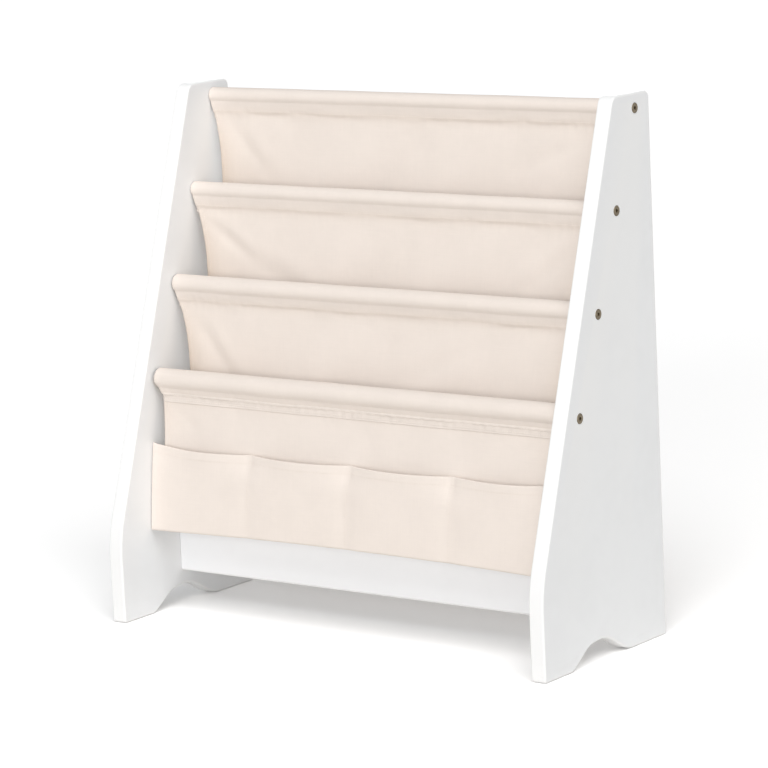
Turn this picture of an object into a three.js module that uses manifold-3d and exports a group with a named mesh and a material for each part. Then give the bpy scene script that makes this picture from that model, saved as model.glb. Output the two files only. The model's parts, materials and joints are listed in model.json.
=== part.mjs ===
import * as THREE from 'three';
import { mergeVertices } from 'three/addons/utils/BufferGeometryUtils.js';
import Module from 'manifold-3d';

// Children's sling bookshelf: two painted side panels, four rods in canvas sleeves,
// three hanging book pockets, a lower pouch and a board that ties the panels together.
// Millimetres. X runs across the shelf, Y from front to back and Z up.
// The origin is on the floor, under the middle of the shelf.

const wasm = await Module();
wasm.setup();

// Overall size and side panels
const overallHeight = 642;
const overallWidth = 640;
const panelThickness = 19.6;
const panelDepth = 254;
const footHeight = 105;
const topDepth = 76;
const topCornerRadius = 10;
const footBendReach = 26;
const toeRadius = 4;
const panelEdgeRound = 2.2;
const frontToeLength = 55.5;
const rearToeLength = 69.5;
const archHeight = 25;
const archApexShare = 0.463;
const archFrontShare = 0.55;
const archRearShare = 0.42;

// Rods: the top one is placed from the panels' top and rear edges and the lowest one from the floor
// and the front foot. The two between them are evenly spaced.
const rodDiameter = 16;
const rodChamfer = 1;
const topRodEdgeDistance = 17.8;
const topRodRearDistance = 30.7;
const lowestRodHeight = 287.8;
const lowestRodSetback = 88.4;

// Bolts and the threaded inserts in the rod ends
const boltHeadDiameter = 12;
const boltHeadThickness = 2.6;
const boltHeadStand = 0.5;
const boltHeadRound = 0.7;
const boltShankDiameter = 5.4;
const boltGrip = 13;
const hexSocketWidth = 4;
const hexSocketDepth = 2;
const insertDiameter = 8.6;
const insertLength = 15;
const insertRim = 1.2;
const insertRimThickness = 1.5;

// Board between the panels and its hidden fittings
const boardHeight = 80;
const boardThickness = 16;
const boardFloorGap = 43.4;
const boardSetback = 111.3;
const boardEdgeRound = 2.5;
const dowelDiameter = 8;
const dowelInBoard = 20;
const dowelInPanel = 10;
const dowelChamfer = 1;
const dowelEdgeDistance = 16;
const camDiameter = 14.4;
const camThickness = 11;
const camSetback = 24;
const camSlotDepth = 9;
const camCrossWidth = 2;
const camCrossLength = 9;
const camCrossDepth = 2;
const camBoltDiameter = 6;
const camBoltInPanel = 10;
const camBoltHeadDiameter = 7.2;
const camBoltHeadLength = 2.5;

// Canvas
const clothThickness = 1.4;
const sleeveSeamDrop = 20;
const hemWidth = 8;
const pocketDrop = 130;
const pocketFoldRadius = 9;
const clothEndGap = 0.6;
const clothSideDraw = 22;
const clothDrawReach = 55;
const foldDepth = 2.4;
const foldSpan = 170;
const leanPerDrop = 0.14;

// Pouch
const pouchMouthBelowRod = 75.8;
const pouchHeight = 105.5;
const pouchCompartments = 4;
const pouchBulge = 11;
const pouchBaseBulge = 8;
const pouchSag = 1.4;
const pouchSideDrop = 4.5;
const pouchSideReach = 28;
const pouchBaseRise = 5;
const pouchSideFold = 9;
const pouchSewnWidth = 4;

// Clearance between pieces that touch or fit in each other
const fitGap = 0.3;
const cutOverrun = 1;
const weldTolerance = 1e-4;

// Facets
const roundFacets = 16;
const smallFacets = 12;
const sleeveFacets = 9;
const clothCells = 10;
const foldFacets = 6;
const frontWallFacets = 4;
const pocketWallFacets = 6;
const pouchWallFacets = 8;
const pouchFallFacets = 5;
const compartmentFacets = 8;

const innerWidth = overallWidth - 2 * panelThickness;
const frontFace = -panelDepth / 2;
const rodRadius = rodDiameter / 2;
const rodNames = ['top', 'upper', 'middle', 'lower'];
const pouchTop = lowestRodHeight - pouchMouthBelowRod;
const pouchBottom = pouchTop - pouchHeight;

const paint = new THREE.MeshStandardMaterial({ color: 0xf1f1ef, roughness: 0.38, metalness: 0 });
const rodWood = new THREE.MeshStandardMaterial({ color: 0xd9b98a, roughness: 0.6, metalness: 0 });
const dowelWood = new THREE.MeshStandardMaterial({ color: 0xcfa873, roughness: 0.7, metalness: 0 });
const bronze = new THREE.MeshStandardMaterial({ color: 0x8c7448, roughness: 0.35, metalness: 1 });
const steel = new THREE.MeshStandardMaterial({ color: 0xb9bcc0, roughness: 0.35, metalness: 1 });
const zinc = new THREE.MeshStandardMaterial({ color: 0x9da0a3, roughness: 0.45, metalness: 1 });
const canvas = new THREE.MeshStandardMaterial({ color: 0xeadfcb, roughness: 0.95, metalness: 0 });

const shelf = new THREE.Group();

function addPiece(name, geometry, material) {
  const mesh = new THREE.Mesh(geometry, material);
  mesh.name = name;
  shelf.add(mesh);
  return mesh;
}

// Solids are joined and cut on bare, welded positions
function toSolid(geometry) {
  const bare = geometry.clone();
  bare.deleteAttribute('normal');
  bare.deleteAttribute('uv');
  const welded = mergeVertices(bare, weldTolerance);
  return new wasm.Manifold(new wasm.Mesh({
    numProp: 3,
    vertProperties: new Float32Array(welded.attributes.position.array),
    triVerts: new Uint32Array(welded.index.array),
  }));
}

function toGeometry(solid) {
  const mesh = solid.getMesh();
  const geometry = new THREE.BufferGeometry();
  geometry.setAttribute('position', new THREE.BufferAttribute(mesh.vertProperties.slice(), 3));
  geometry.setIndex(new THREE.BufferAttribute(mesh.triVerts.slice(), 1));
  geometry.computeVertexNormals();
  return geometry;
}

function cut(geometry, cutters) {
  let solid = toSolid(geometry);
  for (const cutter of cutters) {
    solid = solid.subtract(toSolid(cutter));
  }
  return toGeometry(solid);
}

// A cylinder along X from one end to the other
function cylinderAlongX(radius, xFrom, xTo, y, z, facets) {
  const geometry = new THREE.CylinderGeometry(radius, radius, Math.abs(xTo - xFrom), facets);
  geometry.rotateZ(-Math.PI / 2);
  geometry.translate((xFrom + xTo) / 2, y, z);
  return geometry;
}

// A turned piece: the profile's second value runs along +X
function turnedAlongX(profile, facets) {
  const geometry = new THREE.LatheGeometry(profile.map(([r, x]) => new THREE.Vector2(r, x)), facets);
  geometry.rotateZ(-Math.PI / 2);
  return geometry;
}

// Middle of a rod, counted down from the top one
function rodCentre(index) {
  const share = index / (rodNames.length - 1);
  return {
    y: frontFace + THREE.MathUtils.lerp(panelDepth - topRodRearDistance, lowestRodSetback, share),
    z: THREE.MathUtils.lerp(overallHeight - topRodEdgeDistance, lowestRodHeight, share),
  };
}

function boardCentre() {
  return {
    y: frontFace + boardSetback + boardThickness / 2,
    z: boardFloorGap + boardHeight / 2,
  };
}

function dowelHeights() {
  return [boardFloorGap + dowelEdgeDistance, boardFloorGap + boardHeight - dowelEdgeDistance];
}

// Side panel outline, in depth from the front foot and height
function panelOutline() {
  const front = new THREE.Vector2(0, footHeight);
  const topFront = new THREE.Vector2(panelDepth - topDepth, overallHeight);
  const slope = topFront.clone().sub(front).normalize();
  const bendEnd = front.clone().addScaledVector(slope, footBendReach);
  const roundStart = topFront.clone().addScaledVector(slope, -topCornerRadius);
  const archRear = panelDepth - rearToeLength;
  const archApex = THREE.MathUtils.lerp(frontToeLength, archRear, archApexShare);
  const frontRise = archApex - frontToeLength;
  const rearRise = archRear - archApex;

  const outline = new THREE.Shape();
  outline.moveTo(0, toeRadius);
  outline.lineTo(0, footHeight - footBendReach);
  outline.quadraticCurveTo(front.x, front.y, bendEnd.x, bendEnd.y);
  outline.lineTo(roundStart.x, roundStart.y);
  outline.quadraticCurveTo(topFront.x, topFront.y, topFront.x + topCornerRadius, overallHeight);
  outline.lineTo(panelDepth - topCornerRadius, overallHeight);
  outline.quadraticCurveTo(panelDepth, overallHeight, panelDepth, overallHeight - topCornerRadius);
  outline.lineTo(panelDepth, toeRadius);
  outline.quadraticCurveTo(panelDepth, 0, panelDepth - toeRadius, 0);
  outline.lineTo(archRear, 0);
  outline.bezierCurveTo(
    archRear - archRearShare * rearRise, 0,
    archApex + archRearShare * rearRise, archHeight,
    archApex, archHeight,
  );
  outline.bezierCurveTo(
    archApex - archFrontShare * frontRise, archHeight,
    frontToeLength + (1 - archFrontShare) * frontRise, archHeight / 2,
    frontToeLength, 0,
  );
  outline.lineTo(toeRadius, 0);
  outline.quadraticCurveTo(0, 0, 0, toeRadius);
  return outline;
}

// side is -1 for the left panel and +1 for the right one
function panelGeometry(side) {
  const slab = new THREE.ExtrudeGeometry(panelOutline(), {
    depth: panelThickness - 2 * panelEdgeRound,
    bevelEnabled: true,
    bevelThickness: panelEdgeRound,
    bevelSize: panelEdgeRound,
    bevelOffset: -panelEdgeRound,
    bevelSegments: 2,
    curveSegments: 7,
  });
  // Extruded along Z from an outline in X and Y: turn it so that X is the thickness
  slab.rotateX(Math.PI / 2);
  slab.rotateZ(Math.PI / 2);
  slab.computeBoundingBox();
  const inner = innerWidth / 2;
  const lowest = side < 0 ? -inner - panelThickness : inner;
  slab.translate(lowest - slab.boundingBox.min.x, frontFace - slab.boundingBox.min.y, 0);

  const innerFace = side * inner;
  const outerFace = side * (inner + panelThickness);
  const cutters = [];
  for (let index = 0; index < rodNames.length; index += 1) {
    const rod = rodCentre(index);
    const shankHole = boltShankDiameter / 2 + fitGap;
    const headHole = boltHeadDiameter / 2 + fitGap;
    const seat = outerFace - side * (boltHeadThickness - boltHeadStand + fitGap);
    cutters.push(cylinderAlongX(shankHole, innerFace - side * cutOverrun, outerFace,
      rod.y, rod.z, smallFacets));
    cutters.push(cylinderAlongX(headHole, seat, outerFace + side * cutOverrun,
      rod.y, rod.z, roundFacets));
  }
  const board = boardCentre();
  for (const height of dowelHeights()) {
    const depth = dowelInPanel + fitGap;
    const radius = dowelDiameter / 2 + fitGap;
    cutters.push(cylinderAlongX(radius, innerFace - side * cutOverrun, innerFace + side * depth,
      board.y, height, smallFacets));
  }
  const camHole = camBoltDiameter / 2 + fitGap;
  cutters.push(cylinderAlongX(camHole, innerFace - side * cutOverrun,
    innerFace + side * (camBoltInPanel + fitGap), board.y, board.z, smallFacets));
  return cut(slab, cutters);
}

// Wooden rod with a bore in each end for the threaded insert
function rodGeometry() {
  const end = innerWidth / 2 - fitGap;
  const boreRadius = insertDiameter / 2 + fitGap;
  const boreDepth = insertLength + fitGap;
  return turnedAlongX([
    [0, -end + boreDepth],
    [boreRadius, -end + boreDepth],
    [boreRadius, -end],
    [rodRadius - rodChamfer, -end],
    [rodRadius, -end + rodChamfer],
    [rodRadius, end - rodChamfer],
    [rodRadius - rodChamfer, end],
    [boreRadius, end],
    [boreRadius, end - boreDepth],
    [0, end - boreDepth],
  ], roundFacets);
}

// Threaded insert: a sleeve with a raised band at its outer end, which points along +X
function insertGeometry() {
  const bore = boltShankDiameter / 2 + fitGap;
  const body = insertDiameter / 2 - insertRim / 2;
  const rim = insertDiameter / 2;
  const rimStart = insertLength - insertRimThickness;
  return turnedAlongX([
    [bore, 0],
    [body, 0],
    [body, rimStart],
    [rim, rimStart],
    [rim, insertLength],
    [bore, insertLength],
    [bore, 0],
  ], smallFacets);
}

// Flat headed bolt with a hexagon socket, head towards +X and its bearing face at X = 0
function boltGeometry() {
  const head = boltHeadDiameter / 2;
  const shank = boltShankDiameter / 2;
  const length = panelThickness - (boltHeadThickness - boltHeadStand) + boltGrip;
  const body = turnedAlongX([
    [0, -length],
    [shank, -length],
    [shank, 0],
    [head, 0],
    [head, boltHeadThickness - boltHeadRound],
    [head - boltHeadRound, boltHeadThickness],
    [0, boltHeadThickness],
  ], roundFacets);
  const socketRadius = hexSocketWidth / Math.sqrt(3);
  const socket = cylinderAlongX(socketRadius, boltHeadThickness - hexSocketDepth,
    boltHeadThickness + cutOverrun, 0, 0, 6);
  return cut(body, [socket]);
}

// Turns a piece made for the right side into its place on either side
function placeOnSide(mesh, side, x, y, z) {
  mesh.rotation.z = side < 0 ? Math.PI : 0;
  mesh.position.set(side * x, y, z);
}

function addPanels() {
  addPiece('left_side_panel', panelGeometry(-1), paint);
  addPiece('right_side_panel', panelGeometry(1), paint);
}

function addRodsAndBolts() {
  rodNames.forEach((name, index) => {
    const centre = rodCentre(index);
    const rod = addPiece(`${name}_rod`, rodGeometry(), rodWood);
    rod.position.set(0, centre.y, centre.z);
    for (const [label, side] of [['left', -1], ['right', 1]]) {
      const insert = addPiece(`${name}_rod_${label}_insert`, insertGeometry(), zinc);
      placeOnSide(insert, side, innerWidth / 2 - fitGap - insertLength, centre.y, centre.z);
      const bolt = addPiece(`${name}_rod_${label}_bolt`, boltGeometry(), bronze);
      placeOnSide(bolt, side, overallWidth / 2 - boltHeadThickness + boltHeadStand, centre.y, centre.z);
    }
  });
}

// Board with bores for the dowels and the cam fittings
function boardGeometry() {
  const half = innerWidth / 2 - fitGap;
  const outline = new THREE.Shape();
  const y = boardThickness / 2 - boardEdgeRound;
  const z = boardHeight / 2 - boardEdgeRound;
  outline.absarc(y, z, boardEdgeRound, 0, Math.PI / 2);
  outline.absarc(-y, z, boardEdgeRound, Math.PI / 2, Math.PI);
  outline.absarc(-y, -z, boardEdgeRound, Math.PI, 3 * Math.PI / 2);
  outline.absarc(y, -z, boardEdgeRound, 3 * Math.PI / 2, 2 * Math.PI);
  const plank = new THREE.ExtrudeGeometry(outline, {
    depth: 2 * half,
    bevelEnabled: false,
    curveSegments: 3,
  });
  plank.translate(0, 0, -half);
  plank.rotateX(Math.PI / 2);
  plank.rotateZ(Math.PI / 2);
  const board = boardCentre();
  plank.translate(0, board.y, board.z);

  const cutters = [];
  const rear = board.y + boardThickness / 2;
  for (const side of [-1, 1]) {
    const outer = side * (half + cutOverrun);
    for (const height of dowelHeights()) {
      cutters.push(cylinderAlongX(dowelDiameter / 2 + fitGap, side * (half - dowelInBoard - fitGap), outer,
        board.y, height, smallFacets));
    }
    cutters.push(cylinderAlongX(camBoltHeadDiameter / 2 + fitGap, side * (half - camSetback), outer,
      board.y, board.z, smallFacets));
    const length = camThickness + fitGap;
    const camBore = new THREE.CylinderGeometry(camDiameter / 2 + fitGap, camDiameter / 2 + fitGap,
      length + cutOverrun, roundFacets);
    camBore.translate(side * (half - camSetback), rear - (length - cutOverrun) / 2, board.z);
    cutters.push(camBore);
  }
  return cut(plank, cutters);
}

// Cam lock: a disc in the board's rear face, with a slot for the bolt's head and a cross for the driver
function camGeometry(side) {
  const disc = new THREE.CylinderGeometry(camDiameter / 2, camDiameter / 2, camThickness, roundFacets);
  const slotWidth = camBoltHeadDiameter + 2 * fitGap;
  const slot = new THREE.BoxGeometry(camSlotDepth, slotWidth, slotWidth);
  const board = boardCentre();
  const rear = board.y + boardThickness / 2;
  const depth = rear - camThickness / 2 - board.y;
  slot.translate(side * (camDiameter / 2 + cutOverrun - camSlotDepth / 2), -depth, 0);
  const outer = camThickness / 2;
  const crossHeight = camCrossDepth + cutOverrun;
  const bars = [[camCrossLength, camCrossWidth], [camCrossWidth, camCrossLength]].map(([x, z]) => {
    const bar = new THREE.BoxGeometry(x, crossHeight, z);
    bar.translate(0, outer - camCrossDepth + crossHeight / 2, 0);
    return bar;
  });
  return cut(disc, [slot, ...bars]);
}

// Cam bolt: shank in the panel, neck and head in the board, head towards the shelf's middle
function camBoltGeometry() {
  const shank = camBoltDiameter / 2;
  const head = camBoltHeadDiameter / 2;
  const reach = camSetback - camDiameter / 2 + camSlotDepth - cutOverrun - 2 * fitGap;
  return turnedAlongX([
    [0, -reach],
    [head, -reach],
    [head, -reach + camBoltHeadLength],
    [shank, -reach + 2 * camBoltHeadLength],
    [shank, camBoltInPanel],
    [0, camBoltInPanel],
  ], smallFacets);
}

function dowelGeometry() {
  const radius = dowelDiameter / 2;
  return turnedAlongX([
    [0, -dowelInBoard],
    [radius - dowelChamfer, -dowelInBoard],
    [radius, -dowelInBoard + dowelChamfer],
    [radius, dowelInPanel - dowelChamfer],
    [radius - dowelChamfer, dowelInPanel],
    [0, dowelInPanel],
  ], smallFacets);
}

function addBoardAndFittings() {
  addPiece('lower_board', boardGeometry(), paint);
  const board = boardCentre();
  const half = innerWidth / 2 - fitGap;
  for (const [label, side] of [['left', -1], ['right', 1]]) {
    const cam = addPiece(`board_${label}_cam`, camGeometry(side), zinc);
    cam.position.set(side * (half - camSetback), board.y + (boardThickness - camThickness) / 2, board.z);
    const camBolt = addPiece(`board_${label}_cam_bolt`, camBoltGeometry(), steel);
    placeOnSide(camBolt, side, innerWidth / 2, board.y, board.z);
    ['lower', 'upper'].forEach((level, index) => {
      const dowel = addPiece(`board_${label}_${level}_dowel`, dowelGeometry(), dowelWood);
      placeOnSide(dowel, side, innerWidth / 2, board.y, dowelHeights()[index]);
    });
  }
}

// A closed sheet of cloth around a grid of middle points, point(i, j), offset to both sides
function sheetGeometry(columns, rows, point, thickness) {
  const middle = [];
  for (let i = 0; i <= columns; i += 1) {
    middle.push([]);
    for (let j = 0; j <= rows; j += 1) {
      middle[i].push(point(i, j));
    }
  }
  const positions = [];
  const across = new THREE.Vector3();
  const along = new THREE.Vector3();
  for (const side of [1, -1]) {
    for (let i = 0; i <= columns; i += 1) {
      for (let j = 0; j <= rows; j += 1) {
        across.subVectors(middle[Math.min(i + 1, columns)][j], middle[Math.max(i - 1, 0)][j]);
        along.subVectors(middle[i][Math.min(j + 1, rows)], middle[i][Math.max(j - 1, 0)]);
        const normal = across.cross(along).normalize();
        const place = middle[i][j].clone().addScaledVector(normal, side * thickness / 2);
        positions.push(place.x, place.y, place.z);
      }
    }
  }
  const layer = (columns + 1) * (rows + 1);
  const at = (i, j, side) => i * (rows + 1) + j + side * layer;
  const triangles = [];
  const quad = (a, b, c, d) => triangles.push(a, b, c, a, c, d);
  for (let i = 0; i < columns; i += 1) {
    for (let j = 0; j < rows; j += 1) {
      quad(at(i, j, 0), at(i + 1, j, 0), at(i + 1, j + 1, 0), at(i, j + 1, 0));
      quad(at(i, j, 1), at(i, j + 1, 1), at(i + 1, j + 1, 1), at(i + 1, j, 1));
    }
  }
  for (let i = 0; i < columns; i += 1) {
    quad(at(i, 0, 0), at(i, 0, 1), at(i + 1, 0, 1), at(i + 1, 0, 0));
    quad(at(i + 1, rows, 0), at(i + 1, rows, 1), at(i, rows, 1), at(i, rows, 0));
  }
  for (let j = 0; j < rows; j += 1) {
    quad(at(0, j + 1, 0), at(0, j + 1, 1), at(0, j, 1), at(0, j, 0));
    quad(at(columns, j, 0), at(columns, j, 1), at(columns, j + 1, 1), at(columns, j + 1, 0));
  }
  const geometry = new THREE.BufferGeometry();
  geometry.setAttribute('position', new THREE.Float32BufferAttribute(positions, 3));
  geometry.setIndex(triangles);
  geometry.computeVertexNormals();
  return geometry;
}

// How far the cloth has left the seam above it, from 0 to almost 1
function freeShare(drop) {
  return 1 - Math.exp(-Math.max(drop, 0) / clothDrawReach);
}

// Middle line of the cloth round a rod, from its hem behind the wall to the seam in front. Each step
// has its place in Y and Z, how far its sides are drawn in and how loose it hangs, both from 0 to 1
function sleevePath(index) {
  const rod = rodCentre(index);
  const layerOffset = (clothThickness + fitGap) / 2;
  const radius = rodRadius + fitGap + clothThickness / 2;
  const reach = Math.hypot(layerOffset, sleeveSeamDrop);
  const tangent = Math.acos(radius / reach) - Math.atan2(layerOffset, sleeveSeamDrop);
  const seam = rod.z - sleeveSeamDrop;
  const path = [
    { y: rod.y + layerOffset, z: seam - hemWidth, draw: 0, loose: 0 },
    { y: rod.y + layerOffset, z: seam, draw: 0, loose: 0 },
  ];
  const first = -Math.PI / 2 + tangent;
  const sweep = 2 * (Math.PI - tangent);
  for (let step = 0; step <= sleeveFacets; step += 1) {
    const angle = first + sweep * step / sleeveFacets;
    path.push({
      y: rod.y + radius * Math.cos(angle),
      z: rod.z + radius * Math.sin(angle),
      draw: 0,
      loose: 0,
    });
  }
  path.push({ y: rod.y - layerOffset, z: seam, draw: 0, loose: 0 });
  return path;
}

// Back wall from a sleeve's seam down to a height, leaning forward as it drops
function wallPath(index, bottom, steps) {
  const rod = rodCentre(index);
  const start = { y: rod.y - (clothThickness + fitGap) / 2, z: rod.z - sleeveSeamDrop };
  const path = [];
  for (let step = 1; step <= steps; step += 1) {
    const drop = (start.z - bottom) * step / steps;
    const free = freeShare(drop);
    path.push({ y: start.y - leanPerDrop * drop, z: start.z - drop, draw: free, loose: free });
  }
  return path;
}

// The fold under the books and the front wall, which is caught behind the next sleeve's seam
function pocketFrontPath(index, wallEnd) {
  const next = rodCentre(index + 1);
  const path = [];
  for (let step = 1; step <= foldFacets; step += 1) {
    const angle = Math.PI * step / foldFacets;
    path.push({
      y: wallEnd.y - pocketFoldRadius * (1 - Math.cos(angle)),
      z: wallEnd.z - pocketFoldRadius * Math.sin(angle),
      draw: wallEnd.draw,
      loose: wallEnd.loose,
    });
  }
  const seamBottom = next.z - sleeveSeamDrop - hemWidth;
  const caught = { y: next.y + 3 * (clothThickness + fitGap) / 2, z: seamBottom };
  const foot = path[path.length - 1];
  for (let step = 1; step <= frontWallFacets; step += 1) {
    const share = step / frontWallFacets;
    const free = freeShare((seamBottom - foot.z) * (1 - share));
    path.push({
      y: THREE.MathUtils.lerp(foot.y, caught.y, share),
      z: THREE.MathUtils.lerp(foot.z, caught.z, share),
      draw: free,
      loose: free,
    });
  }
  path.push({ y: caught.y, z: seamBottom + hemWidth - fitGap, draw: 0, loose: 0 });
  return path;
}

// Cloth across the shelf: the sides draw in and shallow folds open below each seam
function clothGeometry(path, phase) {
  const half = innerWidth / 2 - clothEndGap;
  return sheetGeometry(clothCells, path.length - 1, (i, j) => {
    const step = path[j];
    const share = 2 * i / clothCells - 1;
    const x = share * (half - clothSideDraw * step.draw);
    const slant = (x - step.z) / foldSpan + phase;
    const inside = 1 - share * share;
    const fold = foldDepth * step.loose * Math.sin(2 * Math.PI * slant) * inside;
    return new THREE.Vector3(x, step.y - fold, step.z + (step.rise ?? 0) * inside);
  }, clothThickness);
}

function pocketGeometry(index) {
  const bottom = rodCentre(index + 1).z - pocketDrop + pocketFoldRadius;
  const wall = wallPath(index, bottom, pocketWallFacets);
  const path = [...sleevePath(index), ...wall, ...pocketFrontPath(index, wall[wall.length - 1])];
  return clothGeometry(path, index / rodNames.length);
}

// Drop from the lowest seam to the pouch's mouth
function pouchMouthDrop() {
  return pouchMouthBelowRod - sleeveSeamDrop;
}

// The pouch's back wall hangs loose down to the mouth and is held flat below it. Its base is drawn up
// in the middle
function pouchBackPath() {
  const index = rodNames.length - 1;
  const wall = wallPath(index, pouchBottom, pouchWallFacets).map((step) => {
    const loose = Math.max(step.z - pouchTop, 0) / pouchMouthDrop();
    const draw = Math.min(step.draw, freeShare(pouchMouthDrop()));
    const rise = pouchBaseRise * THREE.MathUtils.clamp((pouchTop - step.z) / pouchHeight, 0, 1);
    return { ...step, draw, rise, loose: step.loose * loose };
  });
  return [...sleevePath(index), ...wall];
}

// Half the width of the back wall beside the pouch
function pouchBackHalf() {
  return innerWidth / 2 - clothEndGap - clothSideDraw * freeShare(pouchMouthDrop());
}

// How far the pouch's base is drawn up at a place across the shelf
function pouchRiseAt(x) {
  return pouchBaseRise * Math.max(1 - Math.pow(x / pouchBackHalf(), 2), 0);
}

// Depth of the middle of the pouch's back wall at a height, where the wall has been drawn up
function pouchBackDepth(x, height) {
  const rod = rodCentre(rodNames.length - 1);
  const riseShare = pouchRiseAt(x) / pouchHeight;
  const level = (height - riseShare * pouchTop) / (1 - riseShare);
  const drop = rod.z - sleeveSeamDrop - level;
  return rod.y - (clothThickness + fitGap) / 2 - leanPerDrop * drop;
}

// Columns of the pouch front from left to right: where each one is, how far it swells away from
// the back wall and how far its mouth drops. Both ends fold round the back wall's sides.
function pouchColumns() {
  const half = innerWidth / 2 - clothEndGap - clothThickness / 2;
  const backHalf = pouchBackHalf() - clothThickness / 2;
  const compartment = 2 * half / pouchCompartments;
  const edgeBulge = pouchSideFold / pouchBulge;
  const swellShare = 0.6;
  const columns = [
    { x: -backHalf + pouchSewnWidth, bulge: 0, drop: 0 },
    { x: -backHalf, bulge: 0, drop: 0 },
    { x: -half, bulge: edgeBulge, drop: 0 },
  ];
  for (let part = 0; part < pouchCompartments; part += 1) {
    for (let cell = part === 0 ? 1 : 0; cell < compartmentFacets; cell += 1) {
      const share = cell / compartmentFacets;
      const sag = Math.sin(Math.PI * share);
      const nearEdge = part === 0 ? 1 - share : part === pouchCompartments - 1 ? share : 0;
      const bulge = Math.max(Math.pow(sag, swellShare), edgeBulge * nearEdge);
      const x = -half + (part + share) * compartment;
      const sideDrop = pouchSideDrop * (1 - Math.exp((Math.abs(x) - half) / pouchSideReach));
      columns.push({ x, bulge, drop: sideDrop + pouchSag * sag });
    }
  }
  columns.push({ x: half, bulge: edgeBulge, drop: 0 });
  columns.push({ x: backHalf, bulge: 0, drop: 0 });
  columns.push({ x: backHalf - pouchSewnWidth, bulge: 0, drop: 0 });
  return columns;
}

// Pouch front: sewn to the back wall at its sides, between the compartments and along its base
function pouchFrontGeometry() {
  const columns = pouchColumns();
  return sheetGeometry(columns.length - 1, pouchFallFacets + 1, (i, j) => {
    const column = columns[i];
    const share = Math.min(j / pouchFallFacets, 1);
    const base = pouchBottom + pouchRiseAt(column.x);
    const height = THREE.MathUtils.lerp(pouchTop - column.drop, base, share);
    const swell = THREE.MathUtils.lerp(pouchBulge, pouchBaseBulge, share);
    const seated = pouchBackDepth(column.x, height) - clothThickness - fitGap;
    const depth = j > pouchFallFacets ? seated : seated - swell * column.bulge;
    const lift = j > pouchFallFacets ? clothThickness * column.bulge : 0;
    return new THREE.Vector3(column.x, depth, height + lift);
  }, clothThickness);
}

function addCloth() {
  for (let index = 0; index < rodNames.length - 1; index += 1) {
    addPiece(`${rodNames[index]}_sling_pocket`, pocketGeometry(index), canvas);
  }
  addPiece('pouch_back', clothGeometry(pouchBackPath(), 0), canvas);
  addPiece('pouch_front', pouchFrontGeometry(), canvas);
}

addPanels();
addRodsAndBolts();
addBoardAndFittings();
addCloth();

export default shelf;
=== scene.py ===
"""A child's sling bookshelf, dressed over its measured frame.

Two painted side panels carry four rods. Canvas goes round each rod, is sewn below it and hangs as a
pocket for books, and a pouch is sewn to the lowest wall. A board ties the panels together near the
floor. Lengths are in metres, X runs across the shelf, Y from front to back and Z up.
"""

import json
import logging
import math
from bisect import bisect_right
from dataclasses import dataclass, field
from enum import Enum
from itertools import accumulate, chain, pairwise
from typing import Callable, NamedTuple, Sequence

import bmesh
import bpy
from mathutils import Matrix, Vector, noise

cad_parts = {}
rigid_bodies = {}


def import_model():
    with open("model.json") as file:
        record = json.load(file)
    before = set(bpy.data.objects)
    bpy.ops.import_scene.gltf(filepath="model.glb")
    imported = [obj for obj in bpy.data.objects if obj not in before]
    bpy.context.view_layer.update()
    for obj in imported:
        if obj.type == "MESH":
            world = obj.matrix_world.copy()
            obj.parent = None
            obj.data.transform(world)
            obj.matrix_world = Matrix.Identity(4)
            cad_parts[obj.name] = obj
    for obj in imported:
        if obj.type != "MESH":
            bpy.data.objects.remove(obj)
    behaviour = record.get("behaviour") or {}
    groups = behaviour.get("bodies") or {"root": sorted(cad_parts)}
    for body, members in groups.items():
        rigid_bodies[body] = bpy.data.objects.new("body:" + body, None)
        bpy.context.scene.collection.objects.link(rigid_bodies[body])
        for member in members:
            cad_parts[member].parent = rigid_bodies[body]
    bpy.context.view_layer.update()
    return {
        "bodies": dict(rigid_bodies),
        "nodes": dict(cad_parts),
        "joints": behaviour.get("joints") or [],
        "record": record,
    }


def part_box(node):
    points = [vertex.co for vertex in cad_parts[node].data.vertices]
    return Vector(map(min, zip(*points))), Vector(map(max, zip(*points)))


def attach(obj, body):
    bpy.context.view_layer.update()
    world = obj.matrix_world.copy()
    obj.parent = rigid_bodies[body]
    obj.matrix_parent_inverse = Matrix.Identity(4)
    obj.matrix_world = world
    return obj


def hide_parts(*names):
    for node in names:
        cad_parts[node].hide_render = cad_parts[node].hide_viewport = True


Piece = bpy.types.Object
Shape = bmesh.types.BMesh
Socket = bpy.types.NodeSocket
Sockets = bpy.types.bpy_prop_collection
Source = float | Sequence[float] | Socket
Colour = tuple[float, float, float]

LOG = logging.getLogger("sling_bookshelf")
MM = 0.001
BODY = "root"
RODS = ("top", "upper", "middle", "lower")
FORWARD = Vector((0, -1, 0))
CUT_REACH = 1 * MM  # how far a cutting shape stands out of the face that it cuts
ARC_HANDLE = 0.5523  # how far a quarter circle's Bezier handles reach to its corner
# Edges sharper than this are glossier from handling and painted lighter as a highlight.
WORN_AND_HIGHLIT_ANGLE = math.radians(8.0)  # how far faces turn at an edge whose paint is rubbed
HEAD_FACETS, SEAT_FACETS, BORE_FACETS = 48, 40, 24  # round a head, a large bore and a small one


class Side(Enum):
    """The two sides of the shelf, as a sign along X."""

    LEFT = -1
    RIGHT = 1

    @property
    def label(self) -> str:
        """The word for the side in a piece's name."""
        return self.name.lower()


# ---- Values along a line or round a place ---------------------------------------------------------


def shares(count: int, first: int = 0) -> list[float]:
    """Even shares, from first / count up to 1."""
    return [step / count for step in range(first, count + 1)]


def held(value: float) -> float:
    """A value held between 0 and 1."""
    return min(max(value, 0.0), 1.0)


def eased(share: float) -> float:
    """A share from 0 to 1 with soft ends."""
    return share * share * (3 - 2 * share)


def fade(distance: float, reach: float) -> float:
    """1 at no distance, falling off over a reach."""
    return math.exp(-abs(distance) / reach)


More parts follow.
